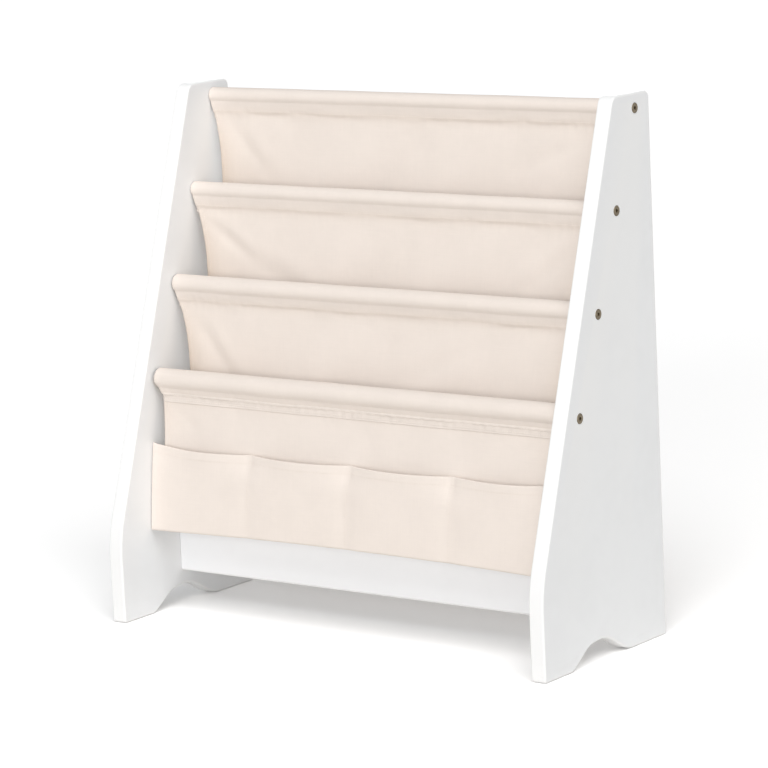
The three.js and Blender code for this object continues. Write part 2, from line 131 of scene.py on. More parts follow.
def bell(distance: float, width: float) -> float:
    """1 at no distance, falling off as a bell of a width."""
    return math.exp(-((distance / width) ** 2))


def ripple(x: float, y: float, z: float) -> float:
    """Smooth unevenness about 0."""
    return noise.noise(Vector((x, y, z)))


def run_lengths(points: Sequence[Vector]) -> list[float]:
    """The length of a line up to each of its points."""
    return [0.0, *accumulate((b - a).length for a, b in pairwise(points))]


def direction(azimuth: float, elevation: float) -> Vector:
    """The way from the shelf to a camera or lamp, for its angles in degrees."""
    turn, lift = math.radians(azimuth), math.radians(elevation)
    return Vector((math.sin(turn) * math.cos(lift), -math.cos(turn) * math.cos(lift), math.sin(lift)))


# ---- Camera, floor and light ----------------------------------------------------------------------


@dataclass(frozen=True)
class Portrait:
    """The camera, at the place that fits the panels' edges, the rods and the bolt heads."""

    place: tuple[float, float, float] = (2.5868, -3.3997, 1.0811)
    azimuth: float = 37.09
    elevation: float = 10.40
    roll: float = -2.69
    focal_pixels: float = 3660.0
    image_pixels: float = 768.0
    sensor: float = 36.0

    def shoot(self) -> None:
        """Makes the camera and hands it to the scene."""
        back = direction(self.azimuth, self.elevation)
        right = (-back).cross(Vector((0, 0, 1))).normalized()
        level = Matrix((right, right.cross(-back), back)).transposed()
        rolled = level @ Matrix.Rotation(math.radians(self.roll), 3, "Z")
        data = bpy.data.cameras.new("portrait_camera")
        data.sensor_width = self.sensor
        data.lens = self.focal_pixels / self.image_pixels * self.sensor
        camera = add_object("portrait_camera", data)
        camera.matrix_world = Matrix.Translation(self.place) @ rolled.to_4x4()
        bpy.context.scene.camera = camera


@dataclass(frozen=True)
class SoftLamp:
    """A broad lamp far away, with its angles in degrees."""

    name: str
    azimuth: float
    elevation: float
    power: float
    spread: float

    def hang(self) -> None:
        """Adds the lamp to the scene."""
        data = bpy.data.lights.new(self.name, "SUN")
        data.energy, data.angle = self.power, math.radians(self.spread)
        towards = direction(self.azimuth, self.elevation)
        add_object(self.name, data).rotation_euler = towards.to_track_quat("Z", "Y").to_euler()


@dataclass(frozen=True)
class Studio:
    """A plain pale floor that runs into a white background, under soft light."""

    floor_half: float = 9.0
    floor_drop: float = 0.4 * MM
    floor_tone: Colour = (0.90, 0.88, 0.85)
    floor_seen: Colour = (1.34, 1.34, 1.34)
    sky: float = 0.275
    lamps: tuple[SoftLamp, ...] = (
        SoftLamp("front_panel", azimuth=20.0, elevation=8.0, power=1.36, spread=30.0),
        SoftLamp("high_panel", azimuth=43.0, elevation=53.0, power=1.63, spread=46.0),
        SoftLamp("rear_panel", azimuth=203.0, elevation=10.0, power=0.42, spread=36.0),
    )

    def light(self) -> None:
        """Sets the plain colour transform and makes the sky, the floor and the lamps."""
        bpy.context.scene.view_settings.view_transform = "Standard"
        self._sky()
        self._floor()
        for lamp in self.lamps:
            lamp.hang()

    def _sky(self) -> None:
        """A white sky, at full strength where the camera, a gloss or a glass sees it."""
        world = bpy.data.worlds.new("studio_sky")
        world.use_nodes = True
        bpy.context.scene.world = world
        sketch = Sketch(world.node_tree)
        strength = sketch.span(sketch.seen_by_camera(), 0.0, 1.0, self.sky, 1.0, smooth=False)
        sketch.feed(world.node_tree.nodes["Background"], {"Color": (1, 1, 1, 1), "Strength": strength})

    def _floor(self) -> None:
        """The floor, white to the camera, which keeps the shelf's shadow."""
        bm = bmesh.new()
        bmesh.ops.create_grid(bm, x_segments=8, y_segments=8, size=self.floor_half)
        bmesh.ops.translate(bm, verts=bm.verts, vec=(0, 0, -self.floor_drop))
        floor = add_shape("studio_floor", bm)
        material = bpy.data.materials.new("studio_floor")
        material.use_nodes = True
        sketch = Sketch(material.node_tree)
        tone = sketch.mix(sketch.seen_by_camera(), self.floor_tone, self.floor_seen)
        matt = sketch.add("ShaderNodeBsdfDiffuse", {"Color": tone})
        sketch.feed(material.node_tree.nodes["Material Output"], {"Surface": matt.outputs[0]})
        floor.data.materials.append(material)


# ---- Mesh helpers ---------------------------------------------------------------------------------


def add_object(name: str, data: bpy.types.ID) -> Piece:
    """Adds an object at the origin to the scene.

    Args:
        name: the object's name.
        data: its mesh, camera or lamp.

    Returns:
        The object.
    """
    piece = bpy.data.objects.new(name, data)
    bpy.context.scene.collection.objects.link(piece)
    return piece


def keep_mesh(bm: Shape, mesh: bpy.types.Mesh) -> None:
    """Writes a shape into a mesh, and frees it."""
    bm.to_mesh(mesh)
    bm.free()


def add_shape(name: str, bm: Shape) -> Piece:
    """Turns a shape into an object at the origin.

    Args:
        name: the object's name.
        bm: the shape, which is freed.

    Returns:
        The object.
    """
    mesh = bpy.data.meshes.new(name)
    keep_mesh(bm, mesh)
    return add_object(name, mesh)


def soften(piece: Piece, crease: float = 32.0, board: bool = False) -> None:
    """Shades a piece smoothly, with its sharp corners kept.

    Args:
        piece: the piece to shade.
        crease: the angle in degrees from which an edge stays sharp.
        board: whether it has large faces to keep flat, and edges whose paint is glossier from handling and
            painted lighter as a highlight.
    """
    bm = bmesh.new()
    bm.from_mesh(piece.data)
    worn_and_highlit = bm.verts.layers.float.new("edge") if board else None
    for face in bm.faces:
        face.smooth = True
    for edge in bm.edges:
        edge.smooth = edge.calc_face_angle(0.0) < math.radians(crease)
    if board:
        # Marks the edges whose paint is glossier from handling and painted lighter as a highlight.
        for vert in bm.verts:
            vert[worn_and_highlit] = float(any(e.calc_face_angle(0.0) > WORN_AND_HIGHLIT_ANGLE for e in vert.link_edges))
        weighted = piece.modifiers.new("even_normals", "WEIGHTED_NORMAL")
        weighted.keep_sharp, weighted.weight = True, 60
    keep_mesh(bm, piece.data)


def turned(profile: Sequence[tuple[float, float]], steps: int, place: Matrix) -> Shape:
    """Turns a profile round the X axis.

    Args:
        profile: pairs of a radius and a distance along +X.
        steps: facets round the axis.
        place: where the turned shape goes.

    Returns:
        A closed shape.
    """
    bm = bmesh.new()
    verts = [bm.verts.new((along, radius, 0.0)) for radius, along in profile]
    edges = [bm.edges.new(pair) for pair in pairwise(verts)]
    bmesh.ops.spin(bm, geom=verts + edges, cent=(0, 0, 0), axis=(1, 0, 0), dvec=(0, 0, 0),
                   angle=math.tau, steps=steps, use_merge=True)
    bmesh.ops.remove_doubles(bm, verts=bm.verts, dist=1e-7)
    bmesh.ops.recalc_face_normals(bm, faces=bm.faces)
    bmesh.ops.transform(bm, matrix=place, verts=bm.verts)
    return bm


def drill(radius: float, depth: float, steps: int, place: Matrix) -> Shape:
    """A cutting shape that goes into a face along +X."""
    profile = [(0, -CUT_REACH), (radius, -CUT_REACH), (radius, depth), (0, depth)]
    return turned(profile, steps, place)


def facing(x: float, centre: Vector, way: int) -> Matrix:
    """Where a shape turned along +X goes, to point left or right from an X and a centre."""
    turn = Matrix.Rotation(0 if way > 0 else math.pi, 4, "Z")
    return Matrix.Translation((x, centre.y, centre.z)) @ turn


def block(middle: Vector, size: Sequence[float]) -> Shape:
    """A box.

    Args:
        middle: its middle.
        size: its length along each axis.

    Returns:
        A closed shape.
    """
    bm = bmesh.new()
    bmesh.ops.create_cube(bm, size=1.0, matrix=Matrix.Translation(middle) @ Matrix.Diagonal((*size, 1)))
    return bm


def cone(low_radius: float, high_radius: float, depth: float, facets: int, place: Matrix) -> Shape:
    """A cone or prism along the Z axis of its place.

    Args:
        low_radius: the radius of its lower end.
        high_radius: the radius of its upper end.
        depth: its length.
        facets: how many sides it has.
        place: where its middle goes.

    Returns:
        A closed shape.
    """
    bm = bmesh.new()
    bmesh.ops.create_cone(bm, cap_ends=True, segments=facets, radius1=low_radius, radius2=high_radius,
                          depth=depth, matrix=place)
    return bm


def round_edges(bm: Shape, edges: Sequence[bmesh.types.BMEdge], radius: float, segments: int) -> None:
    """Rounds some edges."""
    bmesh.ops.bevel(bm, geom=edges, offset=radius, offset_type="OFFSET", segments=segments,
                    profile=0.5, affect="EDGES", material=-1)


def carve(piece: Piece, *cutters: Shape) -> None:
    """Cuts closed shapes out of a piece.

    Args:
        piece: the piece, whose mesh is replaced.
        cutters: the shapes that are taken away, which are freed.
    """
    for cutter in cutters:
        tool = add_shape("cutting_tool", cutter)
        cut = piece.modifiers.new("cut", "BOOLEAN")
        cut.operation, cut.solver, cut.object = "DIFFERENCE", "EXACT", tool
        bpy.context.view_layer.update()
        bm = bmesh.new()
        bm.from_object(piece, bpy.context.evaluated_depsgraph_get())
        piece.modifiers.remove(cut)
        keep_mesh(bm, piece.data)
        bpy.data.meshes.remove(tool.data)


def curve_points(controls: Sequence[Sequence[float]], steps: int) -> list[Vector]:
    """Points along a Bezier curve, without its first one.

    Args:
        controls: two control points, for a straight line, or more.
        steps: how many points are given.

    Returns:
        The points, up to and with the last control point.
    """
    points = []
    for share in shares(steps, 1):
        level = [Vector(control) for control in controls]
        while len(level) > 1:
            level = [a.lerp(b, share) for a, b in pairwise(level)]
        points.append(level[0])
    return points


def rounded_rim(radius: float, rim: float, steps: int) -> list[tuple[float, float]]:
    """The profile of a turned head's rounded rim, from its side to its top at 0.

    Args:
        radius: the head's radius.
        rim: the rounding.
        steps: facets along the arc.

    Returns:
        Pairs of a radius and a distance.
    """
    angles = [math.pi / 2 * share for share in shares(steps)]
    return [(radius - rim * (1 - math.cos(a)), -rim * (1 - math.sin(a))) for a in angles]


def put_on(piece: Piece, finish: "Finish", *nodes: str) -> Piece:
    """Gives a piece its finish and its body, and says which nodes it stands for.

    Args:
        piece: the piece.
        finish: its finish, which names the record's slot.
        nodes: the CAD nodes that it replaces.

    Returns:
        The piece.
    """
    piece.data.materials.append(finish.material())
    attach(piece, BODY)
    if nodes:
        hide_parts(*nodes)
    LOG.info("%s: %d faces, %s%s", piece.name, len(piece.data.polygons), finish.name,
             f", for {', '.join(nodes)}" if nodes else "")
    return piece


def middle_of(node: str) -> Vector:
    """The middle of a CAD node's box."""
    low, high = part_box(node)
    return (low + high) / 2


# ---- Materials ------------------------------------------------------------------------------------


class Sketch:
    """Adds nodes to one node tree and links them."""

    def __init__(self, tree: bpy.types.NodeTree) -> None:
        """Keeps the tree that is drawn in."""
        self.tree = tree

    def feed(self, node: bpy.types.Node, sources: dict[str | int, Source]) -> None:
        """Links a node's inputs, or sets their values.

        Args:
            node: the node.
            sources: a socket or a value for an input's name or number.
        """
        for name, source in sources.items():
            if isinstance(source, Socket):
                self.tree.links.new(source, node.inputs[name])
            else:
                node.inputs[name].default_value = source

    def add(self, kind: str, sources: dict[str | int, Source] | None = None,
            **settings: object) -> bpy.types.Node:
        """Adds one node.

        Args:
            kind: the node's type.
            sources: what goes into its inputs.
            settings: its properties.

        Returns:
            The node.
        """
        node = self.tree.nodes.new(kind)
        for name, value in settings.items():
            setattr(node, name, value)
        self.feed(node, sources or {})
        return node

    def math(self, operation: str, first: Source, second: Source = 0.0) -> Socket:
        """One sum of two values, by the Math node's name for it."""
        return self.add("ShaderNodeMath", {0: first, 1: second}, operation=operation).outputs[0]

    def times(self, first: Source, second: Source) -> Socket:
        """The product of two values."""
        return self.math("MULTIPLY", first, second)

    def span(self, value: Source, low: float, high: float, out_low: Source = 0.0,
             out_high: Source = 1.0, smooth: bool = True) -> Socket:
        """Takes a value from one range to another, and holds it there.

        Args:
            value: the socket that is read.
            low: the range's start.
            high: the range's end.
            out_low: what the start becomes.
            out_high: what the end becomes.
            smooth: whether the ends are eased.

        Returns:
            The result's socket.
        """
        sources = {"Value": value, "From Min": low, "From Max": high, "To Min": out_low, "To Max": out_high}
        kind = "SMOOTHSTEP" if smooth else "LINEAR"
        return self.add("ShaderNodeMapRange", sources, interpolation_type=kind).outputs["Result"]

    def mix(self, share: Source, first: Source, second: Source, blend: str = "MIX") -> Socket:
        """Mixes two colours.

        Args:
            share: how much of the second one.
            first: a colour or its socket.
            second: a colour or its socket.
            blend: the Mix node's blend type.

        Returns:
            The colour's socket.
        """
        first, second = (c if isinstance(c, Socket) else (*c, 1.0) for c in (first, second))
        return self.add("ShaderNodeMix", {0: share, 6: first, 7: second}, data_type="RGBA",
                        blend_type=blend).outputs[2]

    def shaded(self, colour: Source, value: Socket) -> Socket:
        """A colour made darker or lighter by a value."""
        grey = self.add("ShaderNodeCombineColor", dict.fromkeys(range(3), value))
        return self.mix(1.0, colour, grey.outputs[0], "MULTIPLY")

    def noise(self, vector: Socket, scale: Source, detail: float = 2.0, roughness: float = 0.5,
              stretch: Sequence[float] | None = None) -> Socket:
        """A noise value, from 0 to 1.

        Args:
            vector: where it is read.
            scale: features to the metre.
            detail: finer layers.
            roughness: how strong the finer layers are.
            stretch: how many more features there are along each axis.

        Returns:
            The noise's socket.
        """
        if stretch:
            vector = self.add("ShaderNodeMapping", {"Vector": vector, "Scale": stretch}).outputs[0]
        sources = {"Vector": vector, "Scale": scale, "Detail": detail, "Roughness": roughness}
        return self.add("ShaderNodeTexNoise", sources).outputs[0]

    def place(self, source: str = "Object") -> Socket:
        """The piece's own coordinates: Object or UV."""
        return self.add("ShaderNodeTexCoord").outputs[source]

    def attribute(self, name: str) -> Socket:
        """A value that is stored on the piece's points."""
        return self.add("ShaderNodeAttribute", attribute_name=name).outputs["Fac"]

    def bump(self, height: Socket, depth: float, strength: float, normal: Socket | None = None) -> Socket:
        """A bumped normal.

        Args:
            height: the height, from 0 to 1.
            depth: what a height of 1 stands for.
            strength: how much of it is used.
            normal: a bumped normal that it is laid on.

        Returns:
            The normal's socket.
        """
        sources = {"Strength": strength, "Distance": depth, "Height": height}
        if normal is not None:
            sources["Normal"] = normal
        return self.add("ShaderNodeBump", sources).outputs["Normal"]

    def seen_by_camera(self) -> Socket:
        """Tells what the camera sees from what only lights the scene.

        Returns:
            A socket with 1 for what the camera sees itself, in gloss or through glass.
        """
        path = self.add("ShaderNodeLightPath").outputs
        seen = self.math("MAXIMUM", path["Is Camera Ray"], path["Is Glossy Ray"])
        return self.math("MAXIMUM", seen, path["Is Transmission Ray"])


class SharedEffect:
    """A node group that several finishes use, built once. It takes a place and its sizes."""

    name = "effect"
    sizes: dict[str, float] = {}

    def draw(self, sketch: Sketch, takes: Sockets) -> dict[str, Socket]:
        """Draws the effect.

        Args:
            sketch: the group's tree.
            takes: the group's inputs: Vector, and its sizes.

        Returns:
            A socket for each value that the group puts out.
        """
        raise NotImplementedError

    def tree(self) -> bpy.types.NodeTree:
        """Makes the group's tree where it isn't there yet.

        Returns:
            The tree.
        """
        if self.name in bpy.data.node_groups:
            return bpy.data.node_groups[self.name]
        tree = bpy.data.node_groups.new(self.name, "ShaderNodeTree")
        add = tree.interface.new_socket
        add("Vector", in_out="INPUT", socket_type="NodeSocketVector")
        for label, size in self.sizes.items():
            add(label, in_out="INPUT", socket_type="NodeSocketFloat").default_value = size
        sketch = Sketch(tree)
        results = self.draw(sketch, sketch.add("NodeGroupInput").outputs)
        for label in results:
            add(label, in_out="OUTPUT", socket_type="NodeSocketFloat")
        sketch.add("NodeGroupOutput", results)
        return tree

    def use(self, sketch: Sketch, place: Socket, **sizes: float) -> Sockets:
        """Places the group in a material with its own sizes, and gives what it puts out."""
        return sketch.add("ShaderNodeGroup", {"Vector": place, **sizes}, node_tree=self.tree()).outputs


class PlainWeave(SharedEffect):
    """Threads that pass over and under each other, on UVs in metres."""

    name = "plain_weave"
    sizes = {"Pitch": 0.0007}

    def draw(self, sketch: Sketch, takes: Sockets) -> dict[str, Socket]:
        """Draws warp and weft waves.

        Args:
            sketch: the group's tree.
            takes: the group's inputs: Vector, and the threads' Pitch.

        Returns:
            The weave's Height, and a Thread value that differs from thread to thread.
        """
        parts = sketch.add("ShaderNodeSeparateXYZ", {0: takes["Vector"]}).outputs
        counts = [sketch.math("DIVIDE", parts[axis], takes["Pitch"]) for axis in range(2)]
        waves = [sketch.math("SINE", sketch.times(count, math.pi)) for count in counts]
        layers = []
        for own, other, lift in ((0, 1, 0.5), (1, 0, -0.5)):
            arched = sketch.times(sketch.math("ABSOLUTE", waves[own]), 0.5)
            over = sketch.times(sketch.math("SIGN", waves[own]), waves[other])
            layers.append(sketch.math("ADD", arched, sketch.times(over, lift)))
        spot = sketch.add("ShaderNodeCombineXYZ", dict(enumerate(counts))).outputs[0]
        warp_slub, weft_slub = (sketch.noise(spot, 1.0, 3.0, 0.6, stretch)
                                for stretch in ((0.55, 0.012, 1.0), (0.012, 0.55, 1.0)))
        on_top = sketch.math("GREATER_THAN", *layers)
        thread = sketch.add("ShaderNodeMix", {0: on_top, 2: weft_slub, 3: warp_slub},
                            data_type="FLOAT").outputs[0]
        raised = sketch.math("MAXIMUM", *layers)
        return {"Height": sketch.math("ADD", raised, sketch.times(thread, 0.5)), "Thread": thread}


class Mottle(SharedEffect):
    """Soft uneven shade, in two sizes."""

    name = "mottle"
    sizes = {"Size": 0.03, "Low": 0.95, "High": 1.05}

    def draw(self, sketch: Sketch, takes: Sockets) -> dict[str, Socket]:
        """Draws a broad and a fine noise.

        Args:
            sketch: the group's tree.
            takes: the group's inputs: Vector, the patches' Size, and the Low and High shade.

        Returns:
            The Shade that a colour is multiplied by, and a Mask of the patches.
        """
        scale = sketch.math("DIVIDE", 1.0, takes["Size"])
        broad = sketch.noise(takes["Vector"], scale, 3.0, 0.55)
        fine = sketch.noise(takes["Vector"], sketch.times(scale, 5.3))
        both = sketch.math("ADD", sketch.times(broad, 0.7), sketch.times(fine, 0.3))
        mask = sketch.span(both, 0.35, 0.65)
        return {"Shade": sketch.span(mask, 0.0, 1.0, takes["Low"], takes["High"], smooth=False),
                "Mask": mask}


class FineSkin(SharedEffect):
    """The small bumps of a sprayed or cast skin, with broader waves under them."""

    name = "fine_skin"
    sizes = {"Size": 0.0015, "Waves": 0.3}

    def draw(self, sketch: Sketch, takes: Sockets) -> dict[str, Socket]:
        """Draws fine noise over slow waves.

        Args:
            sketch: the group's tree.
            takes: the group's inputs: Vector, the bumps' Size, and the strength of the Waves.

        Returns:
            The skin's Height.
        """
        scale = sketch.math("DIVIDE", 1.0, takes["Size"])
        fine = sketch.noise(takes["Vector"], scale, 2.0, 0.45)
        slow = sketch.noise(takes["Vector"], sketch.times(scale, 0.04))
        return {"Height": sketch.math("ADD", fine, sketch.times(slow, takes["Waves"]))}


class WoodGrain(SharedEffect):
    """Long grain that runs along X, with pores."""

    name = "wood_grain"
    sizes = {"Ring": 0.004}

    def draw(self, sketch: Sketch, takes: Sockets) -> dict[str, Socket]:
        """Draws bands and pores as stretched noise.

        Args:
            sketch: the group's tree.
            takes: the group's inputs: Vector, and the width of a Ring.

        Returns:
            The grain's Band and its Pore, each from 0 to 1.
        """
        scale = sketch.math("DIVIDE", 1.0, takes["Ring"])
        band = sketch.noise(takes["Vector"], scale, 4.0, 0.6, (0.06, 1.0, 1.0))
        pores = sketch.noise(takes["Vector"], sketch.times(scale, 9.0), 1.0, 0.5, (0.05, 1.0, 1.0))
        return {"Band": sketch.span(band, 0.3, 0.7), "Pore": sketch.span(pores, 0.60, 0.72)}


class FloorMarks(SharedEffect):
    """Faint rubbed marks that thin out above the floor."""

    name = "floor_marks"
    sizes = {"Reach": 0.05}

    def draw(self, sketch: Sketch, takes: Sockets) -> dict[str, Socket]:
        """Draws noise that is held to a low band.

        Args:
            sketch: the group's tree.
            takes: the group's inputs: Vector, and the Reach above the floor.

        Returns:
            The marks' Mask.
        """
        height = sketch.add("ShaderNodeSeparateXYZ", {0: takes["Vector"]}).outputs["Z"]
        low = sketch.span(sketch.math("DIVIDE", height, takes["Reach"]), 0.0, 1.0, 1.0, 0.0)
        smear = sketch.noise(takes["Vector"], 1.0, 4.0, 0.7, (60.0, 25.0, 110.0))
        return {"Mask": sketch.times(low, sketch.span(smear, 0.50, 0.68))}


@dataclass(frozen=True)
class Finish:
    """A finish: its name, the record's slot that it belongs to, and its look."""

    name: str
    slot: str

    def dress(self, sketch: Sketch) -> dict[str, Source]:
        """Draws the finish.

        Args:
            sketch: the material's tree.

        Returns:
            What goes into the inputs of its Principled BSDF.
        """
        raise NotImplementedError

    def material(self) -> bpy.types.Material:
        """Makes the finish's material where it isn't there yet.

        Returns:
            The material.
        """
        if self.name in bpy.data.materials:
            return bpy.data.materials[self.name]
        material = bpy.data.materials.new(self.name)
        material.use_nodes = True
        sketch = Sketch(material.node_tree)
        sketch.feed(material.node_tree.nodes["Principled BSDF"], self.dress(sketch))
        return material


@dataclass(frozen=True)
class SatinPaint(Finish):
    """Sprayed satin paint on board, glossier at its edges from handling, where a painted highlight also makes
    it lighter, and marked a little at its feet.
    """

    colour: Colour = (0.884, 0.895, 0.906)
    # A lighter colour for the edges: a painted highlight.
    edge_highlight: Colour = (0.92, 0.92, 0.915)
    mark: Colour = (0.70, 0.69, 0.67)
    roughness: float = 0.36

    def dress(self, sketch: Sketch) -> dict[str, Source]:
        """Draws the paint: glossier and lighter at its edges, the lighter colour a painted highlight, and
        marked low down.

        Args:
            sketch: the material's tree.

        Returns:
            What goes into the inputs of its Principled BSDF.
        """
        place, edge = sketch.place(), sketch.attribute("edge")
        cloud = Mottle().use(sketch, place, Size=0.09, Low=0.985, High=1.01)
        # Lifts the edges' colour toward the lighter one as a painted highlight; the lower roughness at the
        # edges is glossier paint from handling.
        worn_and_highlit = sketch.mix(sketch.times(edge, 0.6), sketch.shaded(self.colour, cloud["Shade"]), self.edge_highlight)
        marks = FloorMarks().use(sketch, place, Reach=0.045)
        gloss = sketch.span(cloud["Mask"], 0.0, 1.0, self.roughness, self.roughness + 0.06, smooth=False)
        skin = FineSkin().use(sketch, place, Size=0.0016, Waves=1.6)
        return {
            "Base Color": sketch.mix(sketch.times(marks["Mask"], 0.10), worn_and_highlit, self.mark),
            "Roughness": sketch.math("SUBTRACT", gloss, sketch.times(edge, 0.04)),
            "Normal": sketch.bump(skin["Height"], 0.03 * MM, 0.35),
            "Specular IOR Level": 0.42,
        }


@dataclass(frozen=True)
class Canvas(Finish):
    """Natural cotton canvas in a plain weave, with painted shade in its weave's hollows and a brownish
    painted shade where it turns back.
    """

    colour: Colour = (0.822, 0.744, 0.684)
    # The colour of the painted shade in the weave's hollows, where the threads lie low.
    shade: Colour = (0.760, 0.672, 0.604)
    # The tint of the brownish painted shade beside the panels and just below the seams.
    painted_shade_tint: Colour = (0.90, 0.825, 0.735)
    pitch: float = 0.7 * MM
    weave_depth: float = 0.22 * MM

    def dress(self, sketch: Sketch) -> dict[str, Source]:
        """Draws the canvas, with a brownish painted shade where it turns back.

        Args:
            sketch: the material's tree.

        Returns:
            What goes into the inputs of its Principled BSDF.
        """
        place = sketch.place("UV")
        weave = PlainWeave().use(sketch, place, Pitch=self.pitch)
        # Painted shade: the colour darkens toward the hollow colour where the weave's height is low.
        between = sketch.span(weave["Height"], 0.15, 0.75, 0.55, 0.0)
        threads = sketch.mix(between, self.colour, self.shade)
        slub = sketch.span(weave["Thread"], 0.3, 0.7, 0.984, 1.014, smooth=False)
        cloud = Mottle().use(sketch, place, Size=0.045, Low=0.988, High=1.01)
        uneven = sketch.shaded(sketch.shaded(threads, slub), cloud["Shade"])
        # The brownish painted shade: a darker tint where the cloth turns back beside a panel or into a seam.
        painted_shade_colour = sketch.mix(1.0, uneven, self.painted_shade_tint, "MULTIPLY")
        nap = sketch.bump(sketch.noise(place, 2600.0, 2.0, 0.6), 0.08 * MM, 0.25)
        return {
            "Base Color": sketch.mix(sketch.attribute("warmth"), uneven, painted_shade_colour),
            "Roughness": sketch.span(weave["Thread"], 0.3, 0.7, 0.88, 0.96, smooth=False),
            "Normal": sketch.bump(weave["Height"], self.weave_depth, 0.45, nap),
            "Sheen Weight": 0.12,
            "Sheen Roughness": 0.5,
            "Specular IOR Level": 0.2,
        }


@dataclass(frozen=True)
class SewingThread(Finish):
    """Twisted cotton sewing thread."""

    colour: Colour = (0.84, 0.765, 0.70)
    # The colour of the painted shade in the hollows where the plies meet.
    painted_ply_shade: Colour = (0.75, 0.665, 0.595)

    def dress(self, sketch: Sketch) -> dict[str, Source]:
        """Draws the thread's twisted plies, with painted shade in the hollows where the plies meet.

        Args:
            sketch: the material's tree.

        Returns:
            What goes into the inputs of its Principled BSDF.
        """
        twist = sketch.noise(sketch.place(), 3800.0, 2.0, 0.6, (1.0, 1.0, 0.4))
        plies = sketch.span(twist, 0.38, 0.62)
        return {
            "Base Color": sketch.mix(plies, self.painted_ply_shade, self.colour),
            "Roughness": sketch.span(plies, 0.0, 1.0, 0.82, 0.68, smooth=False),
            "Normal": sketch.bump(twist, 0.1 * MM, 0.4),
            "Sheen Weight": 0.1,
        }


@dataclass(frozen=True)
class PlatedMetal(Finish):
    """Plated metal with a slightly uneven plating."""

    colour: Colour
    stain: Colour
    roughness: float

    def dress(self, sketch: Sketch) -> dict[str, Source]:
        """Draws the plating, with duller patches.

        Args:
            sketch: the material's tree.

        Returns:
            What goes into the inputs of its Principled BSDF.
        """
        place = sketch.place()
        cloud = Mottle().use(sketch, place, Size=0.003, Low=0.0, High=1.0)
        rougher = self.roughness + 0.14
        skin = FineSkin().use(sketch, place, Size=0.0012, Waves=0.4)
        return {
            "Base Color": sketch.mix(sketch.times(cloud["Mask"], 0.6), self.colour, self.stain),
            "Metallic": 1.0,
            "Roughness": sketch.span(cloud["Mask"], 0.0, 1.0, self.roughness, rougher, smooth=False),
            "Normal": sketch.bump(skin["Height"], 0.03 * MM, 0.4),
        }


@dataclass(frozen=True)
class SandedWood(Finish):
    """Sanded wood, unpainted, with its grain along X."""

    light: Colour = (0.66, 0.47, 0.28)
    dark: Colour = (0.50, 0.32, 0.17)
    ring: float = 4 * MM

    def dress(self, sketch: Sketch) -> dict[str, Source]:
        """Draws the wood's grain and pores.

        Args:
            sketch: the material's tree.

        Returns:
            What goes into the inputs of its Principled BSDF.
        """
        place = sketch.place()
        grain = WoodGrain().use(sketch, place, Ring=self.ring)
        wood = sketch.mix(grain["Band"], self.light, self.dark)
        pored = sketch.mix(sketch.times(grain["Pore"], 0.4), wood, self.dark)
        cloud = Mottle().use(sketch, place, Size=0.03, Low=0.94, High=1.05)
        return {
            "Base Color": sketch.shaded(pored, cloud["Shade"]),
            "Roughness": sketch.span(grain["Pore"], 0.0, 1.0, 0.55, 0.75, smooth=False),
            "Normal": sketch.bump(grain["Pore"], -0.05 * MM, 0.5),
        }


PAINT = SatinPaint("satin_white_paint", "painted_board")
# The board's paint: a cooler white, and lighter than the panels' paint as painted light that makes up for the
# shade the pouch casts on the board.
COOL_LIGHTENED_PAINT = SatinPaint("satin_white_board_lightened", "painted_board", colour=(0.940, 0.948, 0.965))
CANVAS = Canvas("natural_canvas", "canvas")
THREAD = SewingThread("sewing_thread", "canvas")
BRONZE = PlatedMetal("dark_bronze", "bronze", (0.235, 0.195, 0.135), (0.120, 0.098, 0.070), 0.34)
ZINC = PlatedMetal("zinc_plate", "zinc", (0.60, 0.61, 0.63), (0.44, 0.45, 0.46), 0.38)
STEEL = PlatedMetal("plain_steel", "steel", (0.66, 0.66, 0.67), (0.52, 0.52, 0.53), 0.30)
ROD_WOOD = SandedWood("sanded_pine", "rod_wood")
DOWEL_WOOD = SandedWood("beech_dowel", "dowel_wood", (0.62, 0.42, 0.24), (0.52, 0.33, 0.18), 2 * MM)
NODE_FINISHES = {"_rod": ROD_WOOD, "_insert": ZINC, "_cam_bolt": STEEL, "_dowel": DOWEL_WOOD}


def dress_nodes(nodes: dict[str, Piece]) -> None:
    """Gives the CAD nodes that stay their finishes.

    Args:
        nodes: the nodes by name.
    """
    for name, node in nodes.items():
        for ending, finish in NODE_FINISHES.items():
            if name.endswith(ending):
                node.data.materials.clear()
                node.data.materials.append(finish.material())
                LOG.info("%s: %s", name, finish.name)


# ---- Painted boards -------------------------------------------------------------------------------


def finish_board(name: str, bm: Shape, cutters: Sequence[Shape], finish: Finish, node: str) -> None:
    """Drills a board's shape, and shades and paints it.

    Args:
        name: the piece's name.
        bm: the board's shape.
        cutters: the cutting shapes of its holes.
        finish: its finish.
        node: the CAD node that it replaces.
    """
    board = add_shape(name, bm)
    carve(board, *cutters)
    soften(board, board=True)
    put_on(board, finish, node)


def fitting_bores(side: Side, x: float, way: int, bores: dict[str, tuple[float, float]]) -> list[Shape]:
    """The bores for the fittings at one end of the lower board.

    Args:
        side: the board's end.
        x: X of the face that they start from.
        way: the sign of X along which they go.
        bores: the radius and depth for each fitting.

    Returns:
        One cutting shape for each bore.
    """
    places = {fitting: facing(x, middle_of(f"board_{side.label}_{fitting}"), way) for fitting in bores}
    return [drill(*bores[fitting], BORE_FACETS, place) for fitting, place in places.items()]


